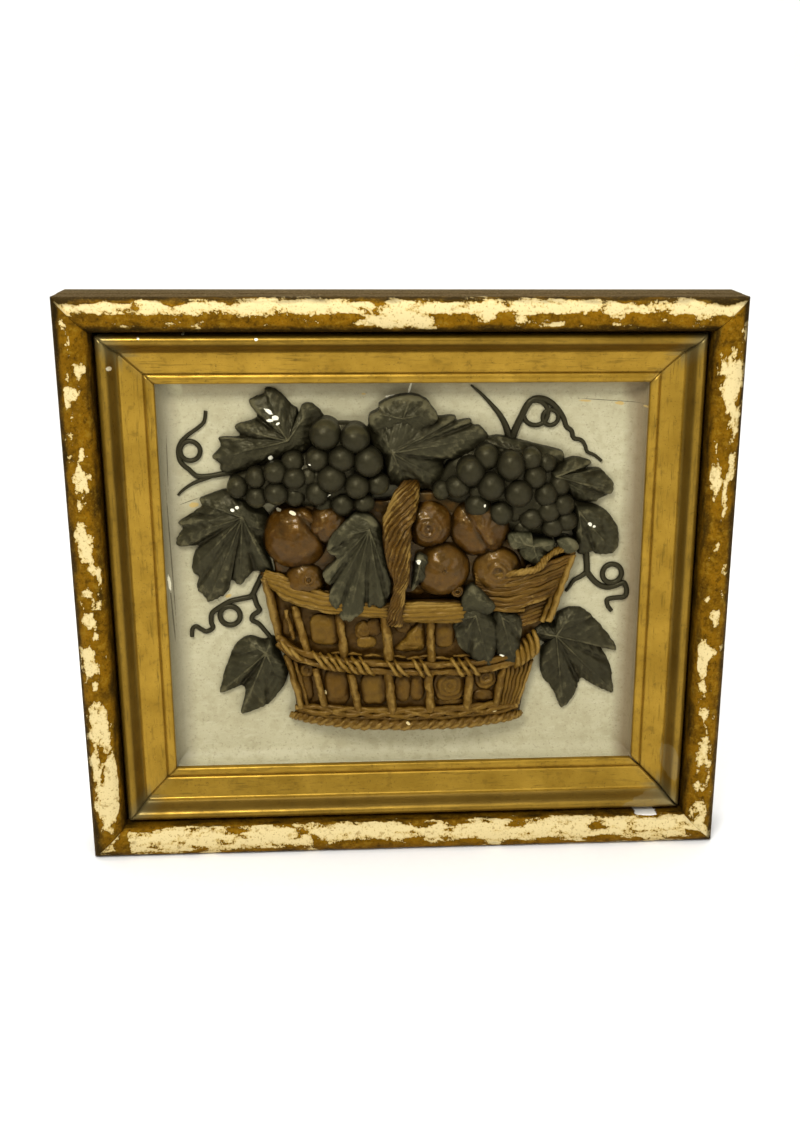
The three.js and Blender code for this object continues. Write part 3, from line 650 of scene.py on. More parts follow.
def buildGround():
    bm = bmesh.new()
    paintedCoveShade = bm.verts.layers.float.new("edge")
    edgeX, edgeZ = (groundLook["coveWidth"] + panel - sight
                    for panel, sight in ((panelX, sightX), (panelZ, sightZ)))
    for v in bmesh.ops.create_grid(bm, x_segments=220, y_segments=190, size=0.5)["verts"]:
        x, z = closerAtEdge(v.co.x + 0.5, panelX, edgeX), closerAtEdge(v.co.y + 0.5, panelZ, edgeZ)
        wave = 0.25 * noise.noise(Vector((x / 45, z / 45, 0)))
        wave += 0.08 * noise.noise(Vector((x / 9, z / 9, 4)))
        rise = coveHeight(x, z)
        v.co = onPanel(x, z, rise + (wave if rise < 10 else 0))
        # painted shade that deepens towards the side coves, and painted shadow under the top
        wide = groundLook["shadeWidth"]
        nearSide, nearTop = unit((abs(x) - sightX + wide) / wide), unit((z - sightZ + wide) / wide)
        v[paintedCoveShade] = nearSide if x > 0 else -nearSide
        v[paintedCoveShade] += nearTop * (0.6 if x > -sightX + wide else 0.2)
    walls = bmesh.ops.extrude_edge_only(bm, edges=[e for e in bm.edges if e.is_boundary])["geom"]
    for v in walls:
        if isinstance(v, bmesh.types.BMVert):
            v.co.y = 0
    bmesh.ops.holes_fill(bm, edges=[e for e in bm.edges if e.is_boundary], sides=0)
    return finishPiece("relief_ground", bm, stonePaint(groundLook))


basketLook = {
    "surface": {"IOR": 1.5, "Specular IOR Level": 0.35, "Specular Tint": "#FFCF78", "Coat Weight": 0.06,
                "Coat Roughness": 0.25},
    "grainMm": (12, 4, 1.3), "roughness": (0.3, 0.5),
    "paint": "#4A310A", "second": "#3A2607", "pale": "#694E17", "rubbed": "#8C7036", "glazeAndShade": "#2A1803",
    "toneCover": 0.9, "rubFrom": 0.62, "glazeAndShadeFrom": 0.06, "glazeAndShadeCover": 0.9,
    "chips": [(1, -117.5, 2, 1, -25), (-64, -93, 0.7, 1.8, 10), (71, -111, 1.8, 0.7, 0)],
    "chipColour": "#C8B684",
    # fruit that shows between the staves: x, z, half width, half height, squareness, rings, tone
    "peeking": [
        (-63, -40, 11, 12, 3.5, 0.0, 0.5), (-34, -41, 5.5, 7, 2.2, 0.6, 0.2),
        (-31, -51, 7, 4.5, 2.5, 0.0, 0.7),
        (-25, -38, 5, 7, 2.2, 0.0, 0.0), (-3, -38, 6, 5, 2.2, 0.0, 0.1), (30, -43, 8, 12, 2.8, 0.0, 0.4),
        (-92, -36, 4, 10, 2.5, 0.0, 0.1), (-79, -76, 5.5, 6, 2.2, 0.8, 0.3),
        (-81, -92, 6, 11, 2.8, 0.0, 0.1),
        (-55, -89, 9, 15, 3.2, 0.1, 0.1), (-25, -90, 10, 13, 3.2, 0.0, 0.5),
        (-3, -90, 6, 11, 2.6, 0.0, 0.2),
        (9, -89, 5, 11, 2.6, 0.0, 0.2), (34, -89, 11, 12, 3.4, 1.0, 0.4), (63, -84, 8, 9, 2.4, 1.0, 0.5),
        (62, -99, 8, 5, 2.6, 0.0, 0.1), (35, -103, 10, 3, 2.6, 0.0, 0.4), (102, -26, 8, 8, 2.4, 0.0, 0.5)],
    # x and z of the top, x and z of the foot, half width, tone
    "staves": [
        (-109, 2, -99, -50, 3.6, 0.3), (-87, -20, -78, -58, 3.2, 0.75), (-94, -24, -88, -48, 1.8, 0.3),
        (-52, -26, -49, -62, 3.4, 0.6), (-17, -28, -13, -64, 4.0, 0.75), (19, -32, 20, -66, 3.4, 0.7),
        (-94, -62, -83, -108, 3, 0.5), (-88, -66, -78, -106, 1.6, 0.2), (-72, -72, -65, -106, 2.8, 0.5),
        (-44, -76, -38, -108, 3.3, 0.7), (-14, -76, -11, -110, 3.7, 0.7), (18, -78, 19, -110, 3.5, 0.85),
        (51, -76, 49, -110, 3.4, 0.8), (78, -72, 72, -108, 3.2, 0.6)],
    # lines of the rim, the border on the right and the handle: x, z, height, half width
    "rim": [(-110, 4, 8, 4.5), (-98, -1, 12, 7.5), (-88, -7, 15, 9), (-60, -16, 18.5, 8.5),
            (-20, -22.5, 19.5, 6.5),
            (0, -23.5, 20, 8), (30, -25, 20, 8.5), (48, -26, 19, 7)],
    "border": [(58, 4, 16, 2.6), (84, 7, 21, 2.8), (101, 10, 21, 3), (109, 18, 19, 3), (119, 24, 15, 2.8),
               (131, 21, 11, 2.4)],
    "handle": [(-9, -34, 19, 7), (-8, -22, 23, 6.2), (-5.5, -6, 25, 4.8), (-4, 3, 25, 6.2),
               (-5.5, 17, 25, 9),
               (-7, 34, 25, 10.8), (-6.5, 48, 24, 11.2), (-2, 62, 21, 11), (3, 74, 15, 8.5), (6, 81, 9, 5)],
    # x and z of the middle band
    "bandLine": [(-101, -49), (-86, -60), (-60, -66.5), (-30, -69.5), (0, -71.5), (28, -72), (55, -71.5),
                 (88, -66),
                 (104, -56)],
    "uneven": (0.9, 0.35),    # slow and quick wander of the surface in mm
    # x, z and half width of the foot's rope
    "footLine": [(-90, -112.5, 1.6), (-87.5, -114.5, 4), (-50, -118, 4.8), (0, -120, 4.9),
                 (50, -119.5, 4.9),
                 (88.5, -116.5, 4), (91, -114, 1.6)],
    # where short strands are laced over the middle band
    "lacing": [-92, -86, -67, -61, -55, -49, -43, -37, -31, -10, -4, 10, 16, 41, 47, 53],
}


def basketLeft(z):
    return -88 - 26.6 * unit((z + 118.5) / 126) ** 1.5


def basketRight(z):
    return 92.5 + 42 * unit((z + 122.5) / 140) ** 1.5


def basketWall(x, z):
    left, right = basketLeft(z), basketRight(z)
    off = min(1, abs(2 * (x - left) / (right - left) - 1))
    return 5 + 11 * math.sqrt(1 - off * off)


def basketTop(x):
    if x < -16:
        return -17 + 25 * unit((-16 - x) / 98) ** 1.2
    return -17 if x < 50 else -17 + 36 * unit((x - 50) / 60)


def bandHeight(x):
    line = basketLook["bandLine"]
    best = min((abs(smoothLine(line, i / 200)[0] - x), i) for i in range(201))[1]
    return smoothLine(line, best / 200)[1]


def buildBasketWall(bm):
    def wall(u, w):
        rough = -121 + w * 135
        left = basketLeft(rough)
        x = left + u * (basketRight(rough) - left)
        bottom = -128 + 8 * ((x - 10) / 100) ** 2
        z = bottom + w * (basketTop(x) - bottom)
        height = basketWall(x, z) - 3.4 + 1.2 * noise.fractal(Vector((x / 8, z / 8, 2)), 1.0, 2.0, 3)
        return onPanel(x, z, -1.0 if min(u, 1 - u, w, 1 - w) <= 0 else height)
    bentGrid(bm, 110, 76, wall)
    bmesh.ops.holes_fill(bm, edges=[e for e in bm.edges if e.is_boundary], sides=0)
    for x, z, wide, tall, square, rings, tone in basketLook["peeking"]:
        def ripple(dx, dz, rings=rings, x=x):
            away = math.hypot(dx - 1, dz - 1)
            ring = rings * 0.8 * math.cos(2 * math.pi * away / 4.4)
            return ring + 0.5 * noise.noise(Vector((dx / 4, dz / 4, x)))
        boss(bm, x, z, wide * 1.12, tall * 1.1, basketWall(x, z) - 2.4, 0.3, square, 38, 20, tone, ripple)
    # a wedge of leaf behind the upper staves
    wedge = {"at": (5, -48), "high": 18.5, "low": 15, "ribs": [], "rim": [
        (-9, -57), (-2, -48), (6, -38), (13, -34), (15, -44), (15, -57), (4, -60)]}
    rimLeaf(bm, wedge, 0.6)


def buildWeave(bm):
    # rim: a flat bundle of laid rods on the left and in the middle
    sweptTube(bm, basketLook["rim"], 72, 110, 0.55, strands=11, groove=0.26, turns=0.4, fibres=36, tone=1.0)
    # open weave on the right: long rods that rise to the corner
    for i in range(12):
        endZ, startZ = 19 - 3.1 * i, 5 - 2.5 * i
        stop = basketRight(endZ) - 2
        wave = 0.8 * math.sin(2.4 * i)
        rod = [(54, startZ, 15.5, 1.7), (78, startZ - 1.5 + wave, 19 + i % 2, 1.9),
               (103, (startZ + endZ) / 2 - 1 - wave, 18 + (i + 1) % 2, 2.0), (stop, endZ, 9.5, 1.6)]
        if endZ < -12:
            rod = rod[:2] + [(93, startZ - 1, 18, 1.6)]
        sweptTube(bm, rod, 14, 44, fibres=5, tone=0.11 * (i * 5 % 4))
    for i in range(6):    # the same weave goes on below, behind the leaf
        endZ = -17 - 3.3 * i
        rod = [(84, endZ - 7, 14, 1.7), (98, endZ - 3, 13, 2.1), (basketRight(endZ) - 3, endZ, 8.5, 1.6)]
        sweptTube(bm, rod, 14, 20, fibres=5, tone=0.12 * (i * 5 % 4))
    sweptTube(bm, basketLook["border"], 24, 90, strands=4, groove=0.22, turns=5, tone=0.6)
    for x0, x1, half in ((131, 113, 3.0), (126, 108, 2.2)):
        edge = [(x0, 18, 10, half), ((x0 + x1) / 2 - 1, -12, 12, half), (x1, -36, 13, half)]
        sweptTube(bm, edge, 16, 40, strands=4, groove=0.14, turns=1.5, tone=0.4)


def buildStaves(bm):
    look = basketLook
    for x0, z0, x1, z1, half, tone in look["staves"]:
        run = []
        for i in range(7):
            t = i / 6
            x, z = x0 + (x1 - x0) * t, z0 + (z1 - z0) * t
            swell = 1 + 0.12 * noise.noise(Vector((x, z / 5, 1)))
            run.append((x + 0.5 * noise.noise(Vector((x0, z / 9, 7))), z, basketWall(x, z) + 0.9,
                        half * swell))
        sweptTube(bm, run, 20, 34, 1.1, strands=5, groove=0.08, turns=0.1, tone=tone * 0.5)
    # thin upright rods that close the right side
    for i in range(6):
        top, foot = 101 - i * 3.6, 90 - i * 2.6
        line = [(top, -70, basketWall(top - 2, -70) + 1, 1.7),
                (foot, -108, basketWall(foot - 2, -108) + 1, 1.6)]
        sweptTube(bm, line, 12, 20, 1.2, tone=0.15 + 0.2 * (i % 3))

    # middle band: two rods with a lacing of short strands over them
    for lift in (3.0, -3.0):
        line = [(x, z + lift, basketWall(x, z) + 3, 3.1) for x, z in look["bandLine"]]
        sweptTube(bm, line, 22, 150, strands=3, groove=0.16, turns=3, fibres=12, tone=0.25)
    for x in look["lacing"]:
        z, tilt = bandHeight(x), 5.5 + 1.2 * math.sin(x)
        lace = [(x - tilt, z + 7.4, basketWall(x, z) + 1, 1.3),
                (x - tilt * 0.4, z + 3.4, basketWall(x, z) + 6.6, 1.7),
                (x + tilt * 0.4, z - 3.4, basketWall(x, z) + 6.6, 1.7),
                (x + tilt, z - 7.4, basketWall(x, z) + 1, 1.3)]
        sweptTube(bm, lace, 12, 24, fibres=4, tone=0.65 + 0.25 * math.sin(x / 3))
    for i in range(5):
        x = 88 + i * 3.9
        z = bandHeight(x) + 1
        hoop = [(x - 2, z + 10, basketWall(x, z) + 1, 1.9), (x + 0.5, z + 4, basketWall(x, z) + 6.5, 2.2),
                (x + 0.6, z - 4, basketWall(x, z) + 6.5, 2.2), (x - 1.5, z - 10, basketWall(x, z) + 1, 1.8)]
        sweptTube(bm, hoop, 12, 22, fibres=4, tone=0.75)
    # a frayed strand above the band
    for i in range(9):
        x = -52 + 14 * i + 4 * math.sin(5 * i)
        z = bandHeight(x) + 8.2 + math.sin(3 * i)
        stray = [(x - 7, z, basketWall(x, z) + 0.6, 0.9), (x, z + 1, basketWall(x, z) + 1.4, 1.1),
                 (x + 7, z - 0.6, basketWall(x, z) + 0.6, 0.8)]
        sweptTube(bm, stray, 8, 16, tone=0.5)

    # foot: a laid rope with a slanting bundle above it
    rope = [(x, z, basketWall(x, z) + 2.2, half) for x, z, half in look["footLine"]]
    sweptTube(bm, rope, 24, 270, strands=3, groove=0.3, turns=13, fibres=12, tone=0.25)
    for i in range(5):
        line = []
        for k in range(12):
            x = -88 + 178 * k / 11
            z = -107.5 - 4.5 * (1 - ((x - 5) / 95) ** 2) + 4.4 * math.sin(0.9 * k + 1.256 * i) * (0 < k < 11)
            line.append((x, z, basketWall(x, z) + 1.6 + 1.2 * math.cos(1.8 * k + 2.5 * i), 2.3))
        sweptTube(bm, line, 12, 130, fibres=4, tone=0.15 + 0.1 * i)


def buildBasket():
    bm = bmesh.new()
    buildBasketWall(bm)
    buildWeave(bm)
    buildStaves(bm)
    # handle: a thick rope that narrows to its foot on the rim
    sweptTube(bm, basketLook["handle"], 80, 160, 0.6, strands=13, groove=0.36, turns=-1.3, fibres=36)
    noise.seed_set(7)    # without a seed noise_vector differs from run to run
    for v in bm.verts:    # modelled by hand, so no rod is quite true
        v.co += noise.noise_vector(v.co / (7 * mm)) * basketLook["uneven"][0] * mm
        v.co += noise.noise_vector(v.co / (2.2 * mm)) * basketLook["uneven"][1] * mm
    return finishPiece("relief_basket", bm, glazedPaint("ochre_basket_glaze", basketLook))


fruitLook = {
    "surface": {"IOR": 1.5, "Specular IOR Level": 0.4, "Specular Tint": "#FFCF78", "Coat Weight": 0.17,
                "Coat Roughness": 0.12},
    "grainMm": (9, 4, 1.4), "roughness": (0.25, 0.45),
    "paint": "#432804", "second": "#281602", "pale": "#5A4014", "rubbed": "#70562A", "glazeAndShade": "#160B01",
    "toneCover": 0.6, "rubFrom": 0.6, "glazeAndShadeFrom": 0.08, "glazeAndShadeCover": 0.97,
    "swell": 1.09,    # how much rounder the fruit are than their listed radius
    "chips": [(-86, 56, 2.8, 1.3, -20), (-97, 57, 2, 1, 0)],
    "chipColour": "#E8DDB8",
    # x, z, radius, height of the middle, squash, tone, then an eye (x, z, size)
    # or a cleft (x, z, angle, depth)
    "fruits": [
        ((-84, 35), 24, 5, 0.75, 0.1, None, (10, 12, 50, 3.2)),
        ((-60, 46), 15, 9, 0.9, 0.1, None, (4, 2, -35, 1.5)),
        ((-78, 0), 15, 8, 0.8, 0.5, (3, 3, 3), None), ((18, 44.5), 17.5, 9, 0.85, 0.2, (-1, -1, 5.5), None),
        ((57, 42), 23, 6, 0.72, 0.15, None, (-6, 4, 60, 2.6)), ((28, 9), 21, 8, 0.82, 0.4, (2, 2, 2), None),
        ((71, 7), 18.5, 8, 0.75, 0.8, (0, 1, 6.5), None), ((40, -8), 5, 16, 0.9, 0.5, (0, 0, 2.5), None)],
    "bed": {"at": (0, 25), "high": 13.5, "low": 10, "ribs": [], "rim": [
        (-105, 50), (-102, 10), (-98, 4), (-60, -10), (-20, -16), (10, -17), (60, -15), (88, -10), (96, 10),
        (80, 45), (60, 66), (5, 70), (-15, 64), (-62, 64), (-85, 64)]},
}


def buildFruit():
    bm = bmesh.new()
    rimLeaf(bm, fruitLook["bed"], 0.0)
    for (x, z), radius, middle, squash, tone, eye, cleft in fruitLook["fruits"]:
        def shape(dx, dz, radius=radius, eye=eye, cleft=cleft):
            lift = 1.5 * noise.fractal(Vector((dx / 10, dz / 10, radius)), 1.0, 2.2, 4)
            if eye:
                ex, ez, size = eye
                away = math.hypot(dx - ex, dz - ez)
                ring = math.cos(2 * math.pi * away / (size * 0.85))
                lift += 1.1 * ring * math.exp(-((away / (size * 1.5)) ** 2))
                lift -= 1.8 * math.exp(-((away / (size * 0.5)) ** 2))
            if cleft:
                cx, cz, angle, deep = cleft
                off = (dx - cx) * math.sin(math.radians(angle)) + (dz - cz) * math.cos(math.radians(angle))
                lift += deep * (0.9 * math.exp(-(((off - 6) / 5) ** 2)) - 0.8 * math.exp(-((off / 2.2) ** 2)))
            return lift
        swollen = radius * fruitLook["swell"]
        boss(bm, x, z, swollen, swollen, middle, squash, 2.0, 64, 40, tone, shape)
    return finishPiece("relief_fruit", bm, glazedPaint("brown_fruit_glaze", fruitLook))


leafLook = {
    "surface": {"IOR": 1.5, "Specular IOR Level": 0.24, "Specular Tint": "#FFF0B4", "Coat Weight": 0.03,
                "Coat Roughness": 0.3},
    "grainMm": (24, 6, 1.6), "roughness": (0.32, 0.56),
    "paint": "#232116", "second": "#2A2719", "pale": "#383624", "rubbed": "#5E583E", "glazeAndShade": "#0D0B04",
    "toneCover": 0.8, "rubFrom": 0.55, "glazeAndShadeFrom": 0.02, "glazeAndShadeCover": 0.9,
    "chips": [(-102, 133, 3.6, 1.5, -35), (-97, 128.5, 2.8, 1.8, 0), (-101, 126.6, 3, 1.2, 5),
              (-95, 124.5, 1.8, 1, 30),
              (-101.5, 98, 2, 1.6, 40), (-128, 60, 1.5, 1.2, 0), (-131.5, 58, 1.5, 1.2, 0),
              (143, 44, 2, 1.4, -30),
              (146.5, 42, 1.4, 1, 0), (9.5, 18, 1.8, 2, 0), (76, -63, 2, 1.4, -20)],
    "chipColour": "#E9E4CB",
    # sizes of the carving on a leaf: ribs, side veins and the dips between ribs, in mm
    "rib": 1.5, "ribWide": 1.2, "side": 0.7, "sideGap": 6.5, "valley": 2.4, "valleyWide": 2.6,
    "scallop": 0.025, "lump": 1.7,
}

grapeLook = {
    **leafLook,
    "paint": "#1B190F", "second": "#201D12", "pale": "#262316", "rubbed": "#3A3622", "rubFrom": 0.85,
    "glazeAndShadeCover": 0.6, "chips": [(-72, 95, 1, 0.8, 0), (60, 62, 0.9, 1.2, 0), (-58, 70, 1.2, 0.6, 20)],
    # x, z, radius, height of the middle
    "grapes": [
        (-60, 116.5, 10.5, 17), (-38, 113, 10.5, 18), (-48, 98.5, 9.5, 20), (-66, 97.5, 9, 17),
        (-28, 96, 10.5, 19),
        (-56, 83.5, 10, 20), (-37, 77, 9, 19), (-21, 78, 8, 15), (-48, 62, 8.5, 15), (-67, 71.5, 8.5, 17),
        (-32, 63, 7.5, 14), (-84, 83.5, 8.5, 17), (-85, 95, 8, 13), (-98, 87.5, 8.5, 16),
        (-98, 71.5, 8.5, 16),
        (-113, 83, 7.5, 13), (-113, 68, 8, 13), (-127, 75.5, 8, 11), (-84, 68.5, 8, 11), (-73, 84, 8, 13),
        (-62, 61.5, 7, 12), (-50, 109.5, 8, 12), (49.5, 88, 10.5, 19), (61.5, 98.5, 9, 17),
        (79.5, 92.5, 10.5, 20),
        (65, 76.5, 10, 21), (86, 70.5, 10.5, 20), (95, 96, 8.5, 15), (98.5, 82.5, 8.5, 17),
        (55, 60.5, 9, 16),
        (73, 54.5, 9.5, 16), (97, 49.5, 8.5, 15), (107.5, 68.5, 8.5, 16), (110, 55.5, 8.5, 15),
        (114, 42.5, 8.5, 13),
        (40, 75.5, 8.5, 16), (28, 72, 7, 13), (84.5, 53, 7, 11), (102.5, 59.5, 7.5, 12),
        (121, 59.5, 8.5, 13),
        (124.5, 46.5, 8, 12), (107.5, 92.5, 7.5, 12), (118, 75, 8, 13), (55, 72, 7.5, 14), (78, 78, 7, 14),
        (90.5, 41, 6.5, 10)],
    "grapeSwell": 1.09,
    "beds": [
        {"at": (-60, 85), "high": 20, "low": 11, "ribs": [], "rim": [
            (-20, 72), (-45, 55), (-70, 58), (-95, 62), (-118, 62), (-134, 72), (-128, 84), (-105, 92),
            (-70, 104),
            (-66, 122), (-50, 124), (-38, 122), (-28, 108), (-18, 88)]},
        {"at": (80, 75), "high": 21, "low": 11, "ribs": [], "rim": [
            (24, 70), (40, 60), (60, 50), (90, 36), (122, 36), (130, 46), (128, 62), (120, 84), (104, 98),
            (80, 106),
            (52, 106), (38, 98), (30, 88)]}],
}

# each leaf: its stem point, heights at the stem and the rim, the ends of its ribs, and its outline
leaves = [
    {"at": (-88, 112), "high": 16, "low": 5, "ribs": [(-144, 97), (-126, 119), (-109, 144), (-72, 134)],
     "rim": [
        (-104, 150), (-96, 148), (-85, 137), (-81, 134), (-80, 130), (-77, 137), (-69, 137), (-61, 127),
        (-62, 110), (-75, 96), (-96, 90), (-116, 88), (-123, 85), (-138, 85), (-141, 92), (-146, 97),
        (-140, 105), (-140, 112), (-125, 113), (-128, 121), (-116, 125), (-111, 129), (-117, 140),
        (-106, 145)]},
    {"at": (-124, 53), "high": 16, "low": 5,
     "ribs": [(-173, 36), (-163, 11), (-153, -16), (-129, -3), (-105, 5), (-156, 62)], "rim": [
        (-135, 72), (-152, 67), (-157, 64), (-156, 59), (-162, 54), (-174, 46), (-171, 42), (-176, 33),
        (-175, 27), (-160, 27), (-163, 22), (-166, 8), (-161, 2), (-163, -7), (-157, -15), (-153, -19),
        (-139, -11), (-136, -1), (-131, -5), (-127, -4), (-117, 6), (-104, 2), (-103, 9), (-108, 28),
        (-100, 34), (-102, 44), (-106, 53), (-119, 66)]},
    {"at": (-28, 45), "high": 26, "low": 24,
     "ribs": [(-57, 37), (-61, 9), (-57, -13), (-45, -28), (-20, -17), (-13, -2)], "rim": [
        (-39, 56), (-44, 52), (-49, 48), (-57, 40), (-61, 29), (-59, 25), (-54, 22), (-55, 18), (-63, 10),
        (-64, 5), (-60, -1), (-56, 1), (-59, -6), (-60, -14), (-56, -20), (-50, -29), (-44, -31),
        (-37, -26),
        (-30, -20), (-25, -18), (-19, -20), (-15, -16), (-11, -2), (-13, 6), (-17, 28), (-18, 39),
        (-20, 47),
        (-29, 55)]},
    {"at": (-10, 104), "high": 24, "low": 8, "ribs": [(61, 113), (38, 126), (28, 79), (2, 75)], "rim": [
        (-27, 128), (-20, 133), (-19, 137), (-9, 142), (5, 144), (16, 140), (20, 135), (25, 128), (38, 128),
        (39, 124), (48, 125), (52, 121), (58, 119), (64, 112), (63, 103), (56, 96), (43, 94), (34, 95),
        (30, 91), (31, 84), (30, 76), (20, 70), (5, 73), (0, 70), (-8, 74), (-15, 77), (-16, 89), (-20, 96),
        (-28, 103), (-30, 111), (-28, 121)]},
    {"at": (-2, 129), "high": 20, "low": 14, "ribs": [(-22, 132), (4, 143), (20, 132)], "rim": [
        (-27, 121), (-27, 129), (-20, 134), (-19, 138), (-9, 143), (5, 145), (16, 141), (20, 136),
        (25, 128),
        (21, 122), (12, 115), (8, 117), (-5, 113), (-14, 109), (-21, 113)]},
    {"at": (98, 29), "high": 22, "low": 18, "tone": 1.3, "ribs": [(81, 33), (113, 29), (104, 13)], "rim": [
        (79, 36), (83, 38), (96, 39), (100, 33), (114, 32), (115, 26), (111, 21), (109, 17), (105, 10),
        (100, 12), (95, 15), (89, 20), (88, 26), (84, 25), (80, 29)]},
    {"at": (125, 27), "high": 17, "low": 15, "tone": 1.0, "ribs": [], "rim": [
        (117, 31), (125, 33), (133, 30), (135, 24), (128, 20), (121, 23)]},
    {"at": (96, 99), "high": 17, "low": 9, "ribs": [(119, 98), (63, 108)], "rim": [
        (59, 110), (67, 112), (75, 112), (91, 108), (102, 105), (118, 101), (122, 98), (121, 92), (109, 87),
        (93, 87), (71, 93), (59, 100)]},
    {"at": (115, 83), "high": 18, "low": 6, "ribs": [(161, 69), (140, 91), (148, 63)], "rim": [
        (109, 88), (123, 93), (130, 95), (137, 94), (144, 91), (140, 86), (150, 86), (157, 80), (162, 74),
        (163, 69), (160, 65), (152, 62), (148, 59), (136, 60), (121, 66), (109, 72)]},
    {"at": (134, 54), "high": 15, "low": 5, "ribs": [(164, 19), (139, 20)], "rim": [
        (130, 62), (140, 59), (148, 57), (157, 52), (163, 45), (167, 38), (169, 27), (167, 19), (161, 16),
        (152, 16), (147, 18), (138, 16), (134, 22), (132, 33), (127, 46)]},
    {"at": (120, -49), "high": 11, "low": 4,
     "ribs": [(168, -63), (168, -99), (128, -112), (99, -47), (133, -31)], "rim": [
        (96, -47), (101, -43), (110, -39), (119, -39), (121, -33), (126, -30), (132, -28), (141, -29),
        (149, -35), (158, -45), (166, -55), (171, -65), (164, -64), (158, -63), (163, -71), (167, -81),
        (169, -91), (170, -102), (166, -102), (156, -97), (149, -93), (143, -89), (141, -94), (139, -101),
        (134, -110), (129, -115), (126, -113), (123, -106), (118, -96), (112, -89), (109, -80), (109, -63),
        (112, -58), (100, -53)]},
    {"at": (54, -26), "high": 25, "low": 19, "ribs": [(66, -70), (42, -48), (40, -31)], "rim": [
        (52, -17), (46, -19), (41, -23), (37, -35), (38, -43), (41, -53), (47, -60), (55, -67), (64, -71),
        (68, -70), (71, -58), (73, -46), (71, -36), (66, -26), (59, -20)]},
    {"at": (75, -29), "high": 22, "low": 17, "ribs": [(86, -70), (90, -39)], "rim": [
        (70, -23), (76, -23), (84, -26), (91, -32), (92, -41), (91, -55), (90, -68), (87, -71), (80, -69),
        (74, -65), (68, -49), (66, -31)]},
    {"at": (54, -12), "high": 26, "low": 22, "ribs": [], "rim": [
        (51, -3), (45, -9), (43, -17), (45, -25), (64, -27), (70, -20), (64, -12), (57, -5)]},
    {"at": (-110, -59), "high": 12, "low": 4, "ribs": [(-148, -94), (-131, -112), (-126, -51), (-100, -89)],
     "rim": [
        (-104, -49), (-112, -51), (-122, -48), (-129, -50), (-136, -57), (-140, -66), (-144, -76),
        (-147, -88),
        (-149, -96), (-139, -93), (-132, -90), (-129, -92), (-129, -98), (-131, -106), (-133, -114),
        (-128, -114), (-117, -110), (-109, -105), (-99, -93), (-94, -82), (-94, -73), (-98, -66)]},
    {"at": (10, 14), "high": 25, "low": 21, "ribs": [(6, -4)], "rim": [
        (10, 23), (16, 22), (19, 18), (18, 11), (15, 2), (10, -1), (6, -6), (4, -5), (5, 7), (7, 19)]},
]


def rimLeaf(bm, leaf, tone):
    x0, z0 = leaf["at"]
    rim, ribs, high, low = leaf["rim"], leaf["ribs"], leaf["high"], leaf["low"]
    spanSteps = 7 if len(rim) > 10 else 9
    around, rings, topPart = len(rim) * spanSteps, 32, 0.86
    edge = [smoothLine(rim, i / around, True) for i in range(around)]
    seed = x0 + z0

    def place(u, w):
        step = round(u * around) % around
        rho = min(1, w / topPart)
        notch = noise.noise(Vector((edge[step][0] / 3, edge[step][1] / 3, seed)))
        tooth = 1 + leafLook["scallop"] * notch * rho ** 12 * (1 if ribs else 0)
        ex, ez = x0 + (edge[step][0] - x0) * tooth, z0 + (edge[step][1] - z0) * tooth
        if w > topPart:
            wall = (w - topPart) / (1 - topPart)
            shrink = 1.0 if wall < 0.5 else max(0, 2 - 2 * wall)
            return onPanel(x0 + (ex - x0) * shrink, z0 + (ez - z0) * shrink,
                           -1.5 if wall > 0.2 else low * 0.4)
        x, z = x0 + (ex - x0) * rho, z0 + (ez - z0) * rho
        height = low + (high - low) * (1 - rho ** 1.6) - 1.3 * rho ** 8
        wrinkle = Vector((x / 10, z / 10, seed))
        lump = noise.noise(wrinkle) + 0.45 * noise.noise(wrinkle * 2.3) + 0.3 * noise.noise(wrinkle * 6)
        height += leafLook["lump"] * lump * min(1, rho * 2.5) * (1 - 0.7 * rho ** 6)
        if ribs:
            near = sorted(beside(x, z, leaf["at"], end) for end in ribs)
            off, along, length = near[0]
            off += 0.8 * (1 + noise.noise(wrinkle * 1.5)) if off > 0.8 else 0
            fade = max(0.25, 1 - along / length * 0.75)
            height += leafLook["rib"] * math.exp(-((off / leafLook["ribWide"]) ** 2)) * fade
            vein = 0.5 + 0.5 * math.cos(2 * math.pi * (along - off * 0.9) / leafLook["sideGap"])
            height += leafLook["side"] * vein ** 3 * min(1, off / 2.5) * min(1, rho * 2)
            if len(near) > 1:
                apart = near[1][0] - off
                height -= leafLook["valley"] * math.exp(-((apart / leafLook["valleyWide"]) ** 2)) * rho
        return onPanel(x, z, height)
    bentGrid(bm, around, rings, place, tone)


